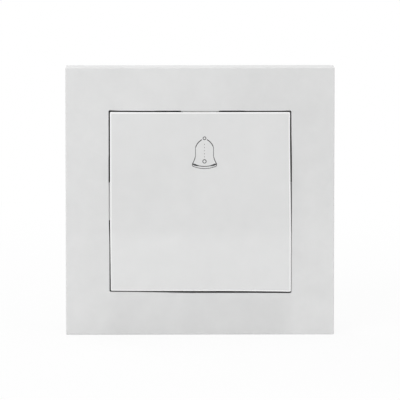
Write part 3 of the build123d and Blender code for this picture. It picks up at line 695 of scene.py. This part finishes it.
def square_columns(arc, side):
    """Columns once round a rounded square: an arc at each corner, then points along the next side.

    A column's place is (half - corner) * core + corner * way.
    """
    turn = np.arange(4) * (math.pi / 2)
    bow = turn[:, None] + np.linspace(0.0, math.pi / 2, arc)[None, :]
    corner = np.sqrt(2.0) * circle_way(turn + math.pi / 4)
    step = np.linspace(0.0, 1.0, side + 2)[1:-1]
    along = corner[:, None] + step[None, :, None] * (np.roll(corner, -1, 0) - corner)[:, None]
    normal = circle_way(turn + math.pi / 2)
    core = np.concatenate([np.repeat(corner[:, None], arc, 1), along], 1)
    way = np.concatenate([circle_way(bow), np.repeat(normal[:, None], side, 1)], 1)
    return core.reshape(-1, 2), way.reshape(-1, 2)


def rectangle_rings(rows, arc, side=0):
    """Rounded rectangles stacked along Y; a row gives half width, half height, corner radius and y."""
    core, way = square_columns(arc, side)
    corner = rows[:, 2, None, None]
    flat = (rows[:, None, 0:2] - corner) * core[None] + corner * way[None]
    depth = np.broadcast_to(rows[:, 3, None], flat.shape[:2])
    return np.stack([flat[..., 0], depth, flat[..., 1]], -1)


def square_rings(section, arc, side):
    """Rounded squares stacked along Y; a row of the section gives half width, corner radius and y."""
    return rectangle_rings(section[:, [0, 0, 1, 2]], arc, side)


def rounded_block(low, high, radius):
    """A box with rounded edges: rounded rectangles along Y, inset by a quarter circle towards both ends."""
    low, high = np.minimum(low, high), np.maximum(low, high)
    radius = min(radius, 0.45 * float((high - low).min()))
    half = (high - low) / 2
    angle = np.radians(np.linspace(0.0, 90.0, 4))
    inset = radius * (1 - np.sin(angle))
    rise = radius * (1 - np.cos(angle))
    cap = np.stack([half[0] - inset, half[2] - inset, radius - inset], -1)
    front = np.insert(cap, 3, low[1] + rise, 1)
    back = np.insert(cap, 3, high[1] - rise, 1)[::-1]
    poles = np.array([[0.0, 0.0, 0.0, low[1]], [0.0, 0.0, 0.0, high[1]]])
    points = rectangle_rings(np.concatenate([poles[:1], front, back, poles[1:]]), arc=4)
    return points + np.array([low[0] + high[0], 0.0, low[2] + high[2]]) / 2


def on_sides(along, across, y, radius, which="tblr"):
    """The same rounded box on several sides of a square: along runs on the side, across runs outwards."""
    places = {
        "t": ((along[0], y[0], across[0]), (along[1], y[1], across[1])),
        "b": ((along[0], y[0], -across[1]), (along[1], y[1], -across[0])),
        "r": ((across[0], y[0], along[0]), (across[1], y[1], along[1])),
        "l": ((-across[1], y[0], along[0]), (-across[0], y[1], along[1])),
    }
    return [rounded_block(*places[side], radius) for side in which]


def ribbon(path, width, closed):
    """A flat line of ink in (u, v, height): a low trapezium carried along a path.

    At each point the trapezium stands across the path's direction, as wide as the line is there; open ends
    close on their middle line.
    """
    if closed:
        ahead = np.roll(path, -1, 0) - np.roll(path, 1, 0)
    else:
        ahead = np.gradient(path, axis=0)
    ahead /= np.linalg.norm(ahead, axis=1, keepdims=True)
    left = np.stack([-ahead[:, 1], ahead[:, 0]], -1)
    section = np.array([[-0.5, -1.0], [-0.44, 1.0], [0.44, 1.0], [0.5, -1.0]])
    flat = path[:, None] + section[None, :, :1] * np.reshape(width, (-1, 1, 1)) * left[:, None]
    height = np.broadcast_to(section[None, :, 1:], (*flat.shape[:2], 1))
    grid = np.concatenate([flat, height], -1)
    if not closed:
        ends = grid[[0, -1]].mean(1, keepdims=True).repeat(len(section), 1)
        grid = np.concatenate([ends[:1], grid, ends[1:]])
    return grid


def screw_surface(origin, axes, head, shank, total, tip, neck, cross):
    """A screw as radius over (distance along the axis, angle), from the head's face to the tip.

    The face sinks where a bar, or a cross of two bars, lies. The thread takes a triangular wave of
    distance / pitch - angle / turn off the shank, with its crests and roots cut flat, fading in below the
    smooth neck and out at the tip.
    """
    size = bpy.context.scene.bell_push_screws
    radius, height = head
    angle = round_angles(72)
    reach = np.linspace(0.0, radius - size.head_round, 26)[:, None]
    u, v = reach * np.cos(angle), reach * np.sin(angle)
    arm = DRIVE_ARM * radius if cross else 2 * radius

    def bar(along, across):
        wide = np.clip((size.drive / 2 - np.abs(across)) / DRIVE_SLOPE, 0, 1)
        return wide * np.clip((arm - np.abs(along)) / DRIVE_SLOPE, 0, 1)

    drive = np.maximum(bar(u, v), bar(v, u)) if cross else bar(u, v)
    rim = bow_points((size.head_round, radius - size.head_round), size.head_round, 180.0, 90.0, 6)[1:]
    side = np.concatenate([rim, [[height, radius], [height, shank]]])
    rows = np.arange(height, total - (shank - tip), size.pitch / 10)[:, None]
    wave = np.abs(((rows / size.pitch - angle / (2 * math.pi)) % 1.0) * 2 - 1)
    fade = np.clip((rows - height - neck) / size.pitch, 0, 1) * np.clip((total - rows) / size.pitch, 0, 1)
    cut = size.thread * np.clip(1.25 * wave - 0.15, 0, 1) * fade
    end = np.array([[total, tip], [total, 0.0]])
    ones = np.ones_like(angle)
    along = np.concatenate([drive * size.drive_depth, side[:, :1] * ones, rows * ones, end[:, :1] * ones])
    out = np.concatenate([reach * ones, side[:, 1:] * ones, shank - cut, end[:, 1:] * ones])
    first, second, down = np.asarray(axes, float)
    ring = np.cos(angle)[:, None] * first + np.sin(angle)[:, None] * second
    return np.asarray(origin, float) + along[..., None] * down + out[..., None] * ring[None]


def coil_surface(centre, low, high, radius, wire, turns):
    """A coil spring about Y: a circle of wire carried along a helix, closed on a point at each end.

    Along the helix the angle grows evenly, and Y as a sum of the angle and a smooth step, so that
    the end turns lie closer together than the middle ones.
    """
    part = np.linspace(0.0, 1.0, int(48 * turns) + 1)
    angle = 2 * math.pi * turns * part
    rise = 0.5 * part + 0.5 * smooth(part, 0.0, 1.0)
    y = low + wire + (high - low - 2 * wire) * rise
    line = np.stack([radius * np.cos(angle), y, radius * np.sin(angle)], -1)
    out = np.stack([np.cos(angle), np.zeros_like(angle), np.sin(angle)], -1)
    ahead = np.gradient(line, axis=0)
    ahead /= np.linalg.norm(ahead, axis=1, keepdims=True)
    up = np.cross(ahead, out)
    turn = round_angles(12)[None, :, None]
    tube = line[:, None] + wire * (np.cos(turn) * out[:, None] + np.sin(turn) * up[:, None])
    ends = line[[0, -1], None].repeat(tube.shape[1], 1)
    return np.concatenate([ends[:1], tube, ends[1:]]) + np.array([centre[0], 0.0, centre[1]])


def grid_quads(rows, columns, loop):
    """Corner numbers of a grid's quads; columns always close, rows close if loop is set."""
    down = np.arange(rows if loop else rows - 1)
    across = np.arange(columns)
    here, there = down[:, None] * columns, ((down + 1) % rows)[:, None] * columns
    after = (across + 1) % columns
    return np.stack([here + across, here + after, there + after, there + across], -1).reshape(-1, 4)


def make_piece(name, grids, slot, body, nodes, loops=(), look=None):
    """Joins grids into one closed mesh, gives it its finish, and sets it on its body in place of its nodes.

    loops numbers the grids whose rows close on themselves; look names a finish other than the slot's own.
    """
    points, quads, start = [], [], 0
    for index, grid in enumerate(grids):
        points.append(grid.reshape(-1, 3))
        quads.append(grid_quads(grid.shape[0], grid.shape[1], index in loops) + start)
        start += len(points[-1])
    mesh = bpy.data.meshes.new(name)
    mesh.from_pydata(np.concatenate(points).tolist(), [], np.concatenate(quads).tolist())
    work = bmesh.new()
    work.from_mesh(mesh)
    bmesh.ops.remove_doubles(work, verts=work.verts, dist=MERGE)
    bmesh.ops.dissolve_degenerate(work, edges=work.edges, dist=VANISH)
    bmesh.ops.recalc_face_normals(work, faces=work.faces)
    work.to_mesh(mesh)
    work.free()
    if mesh.validate():
        raise RuntimeError(f"{name}: the mesh was not sound")
    mesh.polygons.foreach_set("use_smooth", np.ones(len(mesh.polygons), bool))
    mesh.set_sharp_from_angle(angle=SHARP)
    piece = bpy.data.objects.new(name, mesh)
    bpy.context.scene.collection.objects.link(piece)
    mesh.materials.append(finish(look or slot))
    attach(piece, body)
    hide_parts(*nodes)
    return piece


def make_screw(node, *shape):
    """Makes one screw's piece in place of its node; shape is what screw_surface takes."""
    make_piece(node + "_threaded", [screw_surface(*shape)], "screw_steel", node, [node])


def key_face(x, z):
    """Depth of the key's face: flat at the edge, sunk by the dish times (1 - a^2)(1 - b^2) in the middle."""
    size = bpy.context.scene.bell_push_key
    flat = size.half - size.edge
    a, b = np.clip(x / flat, -1, 1), np.clip(z / flat, -1, 1)
    return size.front + size.dish * (1 - a**2) * (1 - b**2)


def opening_edge(x, z):
    """Moves the opening's edge outwards at its hollows, and inwards where it leans into the gap.

    Each side moves by a sum of depths times smooth steps along that side, and fades in over the last stretch
    towards the side, so that the corners follow both of their sides.
    """
    size = bpy.context.scene.bell_push_frame

    def beside_pad(along):
        off = np.abs(along)
        start = smooth(off, size.pad_half - HOLLOW_SLOPE, size.pad_half + HOLLOW_SLOPE)
        return start - smooth(off, size.hollow_end - HOLLOW_SLOPE, size.hollow_end + HOLLOW_SLOPE)

    ends = 1 - smooth(np.abs(x), *TOP_END)
    up = size.lean * (beside_pad(x) - 1) * ends + size.lift_left * smooth(-x, *TOP_LIFT)
    down = size.hollow_low * smooth(x, *BOTTOM_HOLLOW)
    down += size.hollow_corner * smooth(x, *CORNER_HOLLOW)
    down -= size.lift_left * smooth(-x, *BOTTOM_LIFT)
    left = size.hollow * beside_pad(z) * (z > 0) - size.lean_low * smooth(-z, *LEFT_LEAN)
    fade = 1 - (1 - RIGHT_SHARE) * smooth(-z, *RIGHT_FADE)
    right = size.hollow_right * smooth(-z, *RIGHT_HOLLOW) * fade
    sideways = smooth(np.abs(x), *OPENING_SIDE) * np.where(x > 0, right, -left)
    upwards = smooth(np.abs(z), *OPENING_SIDE) * np.where(z > 0, up, -down)
    return x + sideways, z + upwards


def key_outline(x, z):
    """Moves the key's points for its slightly skewed outline.

    The sides lean by smooth steps along Z times the distance from the middle. The right half of the bottom
    edge lies low by a step plus the square of that distance, and the left end lifts with its fourth power.
    """
    size = bpy.context.scene.bell_push_key
    off = np.abs(x) / size.half
    right = size.lean_right * smooth(-z, *KEY_RIGHT_LEAN)
    left = size.lean_left * smooth(-z, *KEY_LEFT_LEAN)
    drop = size.drop * smooth(x, *KEY_DROP) + size.drop_right * off**2 * (x > 0)
    lift = size.lift_left * off**4 * (x < 0)
    return x + off * np.where(x > 0, right, left), z + lift - drop * smooth(-z, *KEY_LOWER_HALF)


class BELLPUSH_OT_frame(bpy.types.Operator):
    """Make the cover frame with its collar, ribs, pads, light baffles and snap ridges"""

    bl_idname = "bell_push.frame"
    bl_label = "Cover frame"

    def execute(self, context):
        size = context.scene.bell_push_frame
        front, back = -size.depth, -size.depth + size.plate
        inside = size.half - size.wall
        collar_out = size.collar_in + size.collar_wall
        collar_end = back + size.collar_depth
        grids = [self.shell(size, front, back, inside, collar_out, collar_end)]
        for at in (-size.rib_at, size.rib_at):
            rib = (at - size.rib / 2, at + size.rib / 2)
            across = (collar_out - ROOT, inside + ROOT)
            grids += on_sides(rib, across, (back - ROOT, collar_end), RIB_ROUND)
        for at in (-size.snap_at, size.snap_at):
            ridge = (at - size.snap_half, at + size.snap_half)
            across = (COVER_HIGH.x, size.collar_in + ROOT)
            grids += on_sides(ridge, across, (collar_end - size.snap, collar_end), RIB_ROUND)
        pad = (-size.pad_half, size.pad_half)
        for side, reach, setback, hollow in (
            ("t", size.pad_top, size.pad_setback, 0.0),
            ("l", size.pad_left, size.pad_setback, 0.0),
            ("r", size.pad_right, size.pad_right_setback, size.hollow_right),
        ):
            across = (size.opening - reach, size.opening + hollow + ROOT)
            grids += on_sides(pad, across, (front + setback, back), PAD_ROUND, side)
        across = (size.opening - size.baffle, size.collar_in - BAFFLE_PLAY)
        grids += on_sides(pad, across, (back - ROOT, back + BAFFLE_DEPTH), BAFFLE_ROUND, "lr")
        make_piece("cover_frame", grids, "white_plastic", "base", ["frame"], loops=(0,))
        return {"FINISHED"}

    def shell(self, size, front, back, inside, collar_out, collar_end):
        """Plate, collar and outer wall: one closed section carried round a square, with an uneven opening."""
        centre = (size.half - size.outer_round, front + size.outer_round)
        outer = bow_points(centre, size.outer_round, 0.0, -90.0, 9)
        outer = with_corners(outer, size.outer_round, size.half)
        centre = (size.opening + size.opening_edge, front + size.opening_edge)
        edge = bow_points(centre, size.opening_edge, -90.0, -180.0, 5)
        edge = with_corners(edge, size.opening_corner, size.opening)
        inner = [
            [size.opening, size.opening_corner, back],
            [size.collar_in, COLLAR_CORNER, back],
            [size.collar_in, COLLAR_CORNER, collar_end],
            [collar_out, COLLAR_CORNER_OUT, collar_end],
            [collar_out, COLLAR_CORNER_OUT, back],
            [inside, WALL_CORNER, back],
            [inside, WALL_CORNER, 0.0],
            [size.half - RIM, size.outer_round, 0.0],
            [size.half, size.outer_round, -RIM],
        ]
        section = braced(np.concatenate([outer, edge, inner, outer[:1]]))[:-1]
        shell = square_rings(section, arc=7, side=110)
        near = (section[:, 0] < size.opening + size.opening_edge + TINY) & (section[:, 2] < back + TINY)
        shell[near, :, 0], shell[near, :, 2] = opening_edge(shell[near, :, 0], shell[near, :, 2])
        return shell


class BELLPUSH_OT_key(bpy.types.Operator):
    """Make the rocker key with its dished face, skirt and hooks"""

    bl_idname = "bell_push.key"
    bl_label = "Rocker key"

    def execute(self, context):
        size = context.scene.bell_push_key
        back = size.front + size.plate
        grids = [self.shell(size, back)]
        inside = LEVER_HIGH.z + size.hook_play
        under = back + LEVER_PLATE + size.hook_play
        end = under + size.barb_height
        for at in (-size.hook_at, size.hook_at):
            wide = (at - size.hook_half, at + size.hook_half)
            grids += on_sides(wide, (inside, inside + size.hook), (back - ROOT, end), HOOK_ROUND, "tb")
            across = (inside - size.barb, inside + BARB_ROOT)
            grids += on_sides(wide, across, (under, end), HOOK_ROUND, "tb")
        make_piece("rocker_key", grids, "white_plastic", "rocker", ["rocker_cap"], look="key_plastic")
        return {"FINISHED"}

    def shell(self, size, back):
        """Plate and skirt: a section from the face's middle to the back's, carried round a square.

        The face takes its dish, and the rows of the plate take the skewed outline, which the skirt doesn't.
        """
        skirt = size.half - size.skirt_inset
        skirt_in = skirt - size.skirt_wall
        skirt_end = back + size.skirt_depth
        flat = size.half - size.edge
        face = np.linspace([0.0, 0.0, size.front], [flat, size.corner - size.edge, size.front], 14)
        edge = bow_points((flat, size.front + size.edge), size.edge, -90.0, 0.0, 9)[1:]
        edge = with_corners(edge, size.corner, size.half)
        inner = [
            [size.half - size.draft, size.corner, back],
            [skirt, SKIRT_CORNER, back],
            [skirt, SKIRT_CORNER, skirt_end - SKIRT_EDGE],
            [skirt - SKIRT_EDGE, SKIRT_CORNER_IN, skirt_end],
            [skirt_in, SKIRT_CORNER_IN, skirt_end],
            [skirt_in, SKIRT_CORNER_IN, back],
            [0.0, 0.0, back],
        ]
        section = np.concatenate([face, braced(np.concatenate([edge, inner]))])
        shell = square_rings(section, arc=5, side=12)
        top = shell[: len(face)]
        top[..., 1] = key_face(top[..., 0], top[..., 2])
        plate = (section[:, 2] < back - TINY) | (section[:, 0] > skirt + TINY)
        shell[plate, :, 0], shell[plate, :, 2] = key_outline(shell[plate, :, 0], shell[plate, :, 2])
        return shell


class BELLPUSH_OT_bell(bpy.types.Operator):
    """Print the bell on the key as lines of ink"""

    bl_idname = "bell_push.bell"
    bl_label = "Printed bell"

    def execute(self, context):
        size = context.scene.bell_push_bell
        middle = (BELL_LOW.x + BELL_HIGH.x) / 2
        lift = BELL_HIGH.z - (size.knob_up + size.knob)
        grids, loops = [], []
        for path, width, closed in self.sides(size) + self.rim(size) + self.rings(size) + self.dashes(size):
            grid = ribbon(path, width, closed)
            x, z = grid[..., 0] + middle, grid[..., 1] + lift
            y = key_face(x, z) - size.film * grid[..., 2]
            if closed:
                loops.append(len(grids))
            grids.append(np.stack([x, y, z], -1))
        make_piece("printed_bell", grids, "ink", "rocker", ["bell_symbol"], loops=loops)
        return {"FINISHED"}

    def sides(self, size):
        """Left and right side: the dome's arc, a straight run and the flare's arc, thinnest along the run."""
        strokes = []
        taper = 6
        for side in (-1, 1):
            dome = three_point_arc(
                (side * size.top_half, size.top),
                (side * size.shoulder_out, size.shoulder_up),
                (side * size.half, size.spring_up),
                24,
            )
            flare = three_point_arc(
                (side * size.half, size.waist_up),
                (side * size.flare_out, size.flare_up),
                (side * size.rim_half, size.rim_up),
                18,
            )
            path = np.concatenate([dome, flare])
            first = len(dome)
            stops = (first - taper, first - 1, first, first + taper - 1)
            widths = (size.dome_line, size.line, size.line, size.flare_line)
            strokes.append((path, np.interp(np.arange(len(path)), stops, widths), False))
        return strokes

    def rim(self, size):
        """The rim's two lines, arcs that bow down. The upper swells near its ends, which the lower joins."""

        def bow(up, count):
            ends = (-size.rim_half, up), (size.rim_half, up)
            return three_point_arc(ends[0], (0.0, up - size.rim_sag), ends[1], count)

        upper, lower = bow(size.rim_up, 33), bow(size.rim_up - size.rim, 32)
        off = np.abs(np.linspace(-1.0, 1.0, len(upper)))
        swell = smooth(off, 0.4, 0.75) * (1 - 0.7 * smooth(off, 0.85, 1.0))
        base = np.concatenate([upper[:1], lower, upper[-1:]])
        return [(upper, size.rim_line * (1.0 + RIM_SWELL * swell), False), (base, size.base_line, False)]

    def rings(self, size):
        """Knob and clapper: circles whose lines end at their radius."""
        circle = circle_way(round_angles(40))
        return [
            (circle * (radius - size.ring_line / 2) + (0.0, up), size.ring_line, True)
            for radius, up in ((size.knob, size.knob_up), (size.clapper, size.clapper_up))
        ]

    def dashes(self, size):
        """Short dashes down the middle line."""
        run = np.array([[0.0, size.dash / 2], [0.0, 0.0], [0.0, -size.dash / 2]])
        places = [size.dash_top - dash * size.dash_pitch for dash in range(size.dashes)]
        return [(run + (0.0, up), size.dash_line, False) for up in places]


class BELLPUSH_OT_claw_screws(bpy.types.Operator):
    """Make the two claw screws with cross-slotted heads and threads"""

    bl_idname = "bell_push.claw_screws"
    bl_label = "Claw screws"

    def execute(self, context):
        size = context.scene.bell_push_screws
        axes = ((0, 0, 1), (1, 0, 0), (0, 1, 0))
        shank, tip = size.claw_shank, CLAW_TIP * size.claw_shank
        for node in ("claw_screw_top", "claw_screw_bottom"):
            low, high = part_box(node)
            origin = (0.0, low.y, (low.z + high.z) / 2)
            head = ((high.x - low.x) / 2, size.claw_head)
            make_screw(node, origin, axes, head, shank, high.y - low.y, tip, size.claw_neck, True)
        return {"FINISHED"}


class BELLPUSH_OT_terminal_screws(bpy.types.Operator):
    """Make the two terminal screws with slotted heads and threads"""

    bl_idname = "bell_push.terminal_screws"
    bl_label = "Terminal screws"

    def execute(self, context):
        size = context.scene.bell_push_screws
        axes = ((0, 1, 0), (1, 0, 0), (0, 0, -1))
        shank, tip = size.terminal_shank, size.terminal_tip
        for node in ("terminal_screw_left", "terminal_screw_right"):
            low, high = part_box(node)
            origin = ((low.x + high.x) / 2, (low.y + high.y) / 2, high.z)
            head = ((high.x - low.x) / 2, size.terminal_head)
            make_screw(node, origin, axes, head, shank, high.z - low.z, tip, TERMINAL_NECK, False)
        return {"FINISHED"}


class BELLPUSH_OT_spring(bpy.types.Operator):
    """Make the return spring"""

    bl_idname = "bell_push.spring"
    bl_label = "Return spring"

    def execute(self, context):
        size = context.scene.bell_push_spring
        low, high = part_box("return_spring")
        centre = ((low.x + high.x) / 2, (low.z + high.z) / 2)
        radius = (high.x - low.x) / 2 - size.wire
        grid = coil_surface(centre, low.y, high.y, radius, size.wire, size.turns)
        coil = make_piece("return_coil", [grid], "spring_steel", "base", ["return_spring"])
        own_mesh(coil)
        return {"FINISHED"}


class BELLPUSH_OT_insert(bpy.types.Operator):
    """Give the insert's own parts their finishes"""

    bl_idname = "bell_push.insert"
    bl_label = "Insert"

    def execute(self, context):
        slots = {part["node"]: part["material_slot"] for part in frame["record"]["subparts"]}
        for name, node in frame["nodes"].items():
            node.data.materials.clear()
            node.data.materials.append(finish(slots[name]))
        return {"FINISHED"}


class BELLPUSH_OT_stage(bpy.types.Operator):
    """Set up the floor, the white surroundings, the lights and the camera"""

    bl_idname = "bell_push.stage"
    bl_label = "Stage"

    def execute(self, context):
        size = context.scene.bell_push_stage
        self.floor(context, size)
        self.surroundings(context)
        self.lights(context)
        self.camera(context, size)
        context.scene.view_settings.view_transform = "Standard"
        return {"FINISHED"}

    def seen(self, shader):
        """1 for rays that show the surroundings: from the camera, a gloss or through glass."""
        kinds = ("Is Camera Ray", "Is Glossy Ray", "Is Transmission Ray")
        camera, glossy, glass = (shader.node("ShaderNodeLightPath", out=kind) for kind in kinds)
        return camera | glossy | glass

    def floor(self, context, size):
        """A level square under the object, white to the camera but for the object's shadow."""
        corners = FLOOR_HALF * np.array([[-1, -1], [1, -1], [1, 1], [-1, 1]])
        points = np.insert(corners, 2, CAD_BOX[0][2], 1)
        mesh = bpy.data.meshes.new("floor")
        mesh.from_pydata(points.tolist(), [], [[0, 1, 2, 3]])
        floor = bpy.data.objects.new("floor", mesh)
        context.scene.collection.objects.link(floor)
        material, shader = new_shader("floor")
        plain = shader.node("ShaderNodeBsdfDiffuse", None, {"Color": (*size.floor, 1.0)})
        white = shader.node("ShaderNodeEmission", None, {"Strength": 1.0})
        reach = shader.node("ShaderNodeVectorMath", {"operation": "LENGTH"}, {0: shader.place()}, out="Value")
        lit = 1 - SHADOW * (1 - reach.rise(*FADE))
        both = shader.node("ShaderNodeMixShader", None, {0: lit * self.seen(shader), 1: plain, 2: white})
        shader.node("ShaderNodeOutputMaterial", None, {"Surface": both})
        mesh.materials.append(material)

    def surroundings(self, context):
        """A world that is white where it is seen and an even grey where it lights."""
        world = bpy.data.worlds.new("studio")
        world.use_nodes = True
        context.scene.world = world
        shader = Shader(world.node_tree)
        shown = shader.mix(self.seen(shader), FILL, (1.0, 1.0, 1.0))
        glow = shader.node("ShaderNodeBackground", None, {"Color": shown, "Strength": 1.0})
        shader.node("ShaderNodeOutputWorld", None, {"Surface": glow})

    def lights(self, context):
        """Large soft boxes that face the object: the strongest in front at the left, the others weaker."""
        for name, place, side, power in SOFT_BOXES:
            lamp = bpy.data.lights.new(name, "AREA")
            lamp.shape = "SQUARE"
            lamp.size = side
            lamp.energy = power
            holder = bpy.data.objects.new(name, lamp)
            holder.location = place
            aim = -holder.location
            holder.rotation_euler = aim.to_track_quat("-Z", "Y").to_euler()
            context.scene.collection.objects.link(holder)

    def camera(self, context, size):
        """A camera before the middle of the frame, looking down a little."""
        lens = bpy.data.cameras.new("camera")
        lens.lens = size.lens
        lens.sensor_width = 36.0
        lens.clip_start = 0.01
        camera = bpy.data.objects.new("camera", lens)
        level = size.distance * math.cos(size.pitch)
        camera.location = (
            level * math.sin(size.yaw),
            FRAME_LOW.y - level * math.cos(size.yaw),
            size.distance * math.sin(size.pitch) + size.aim_up,
        )
        camera.rotation_euler = (math.pi / 2 - size.pitch, 0.0, size.yaw)
        context.scene.collection.objects.link(camera)
        context.scene.camera = camera


PIECE_OPERATORS = (
    BELLPUSH_OT_insert,
    BELLPUSH_OT_frame,
    BELLPUSH_OT_key,
    BELLPUSH_OT_bell,
    BELLPUSH_OT_claw_screws,
    BELLPUSH_OT_terminal_screws,
    BELLPUSH_OT_spring,
    BELLPUSH_OT_stage,
)


class BELLPUSH_PT_panel(bpy.types.Panel):
    """Sidebar list of the bell push's pieces and sizes"""

    bl_idname = "BELLPUSH_PT_panel"
    bl_label = "Bell push"
    bl_space_type = "VIEW_3D"
    bl_region_type = "UI"
    bl_category = "Bell push"

    def draw(self, context):
        for operator in PIECE_OPERATORS:
            self.layout.operator(operator.bl_idname)
        for name, group in SIZE_GROUPS.items():
            box = self.layout.box()
            box.label(text=group.__doc__)
            for key in group.__annotations__:
                box.prop(getattr(context.scene, name), key)


CLASSES = (*SIZE_GROUPS.values(), *PIECE_OPERATORS, BELLPUSH_PT_panel)


def register():
    """Registers the classes and hangs the sizes on the scene."""
    for cls in CLASSES:
        bpy.utils.register_class(cls)
    for name, group in SIZE_GROUPS.items():
        setattr(bpy.types.Scene, name, PointerProperty(type=group))


def unregister():
    """Takes the sizes off the scene and the classes out of Blender."""
    for name in SIZE_GROUPS:
        delattr(bpy.types.Scene, name)
    for cls in reversed(CLASSES):
        bpy.utils.unregister_class(cls)


def main():
    """Registers and makes every piece in order."""
    register()
    bpy.ops.bell_push.insert()
    bpy.ops.bell_push.frame()
    bpy.ops.bell_push.key()
    bpy.ops.bell_push.bell()
    bpy.ops.bell_push.claw_screws()
    bpy.ops.bell_push.terminal_screws()
    bpy.ops.bell_push.spring()
    bpy.ops.bell_push.stage()


if __name__ == "__main__":
    main()
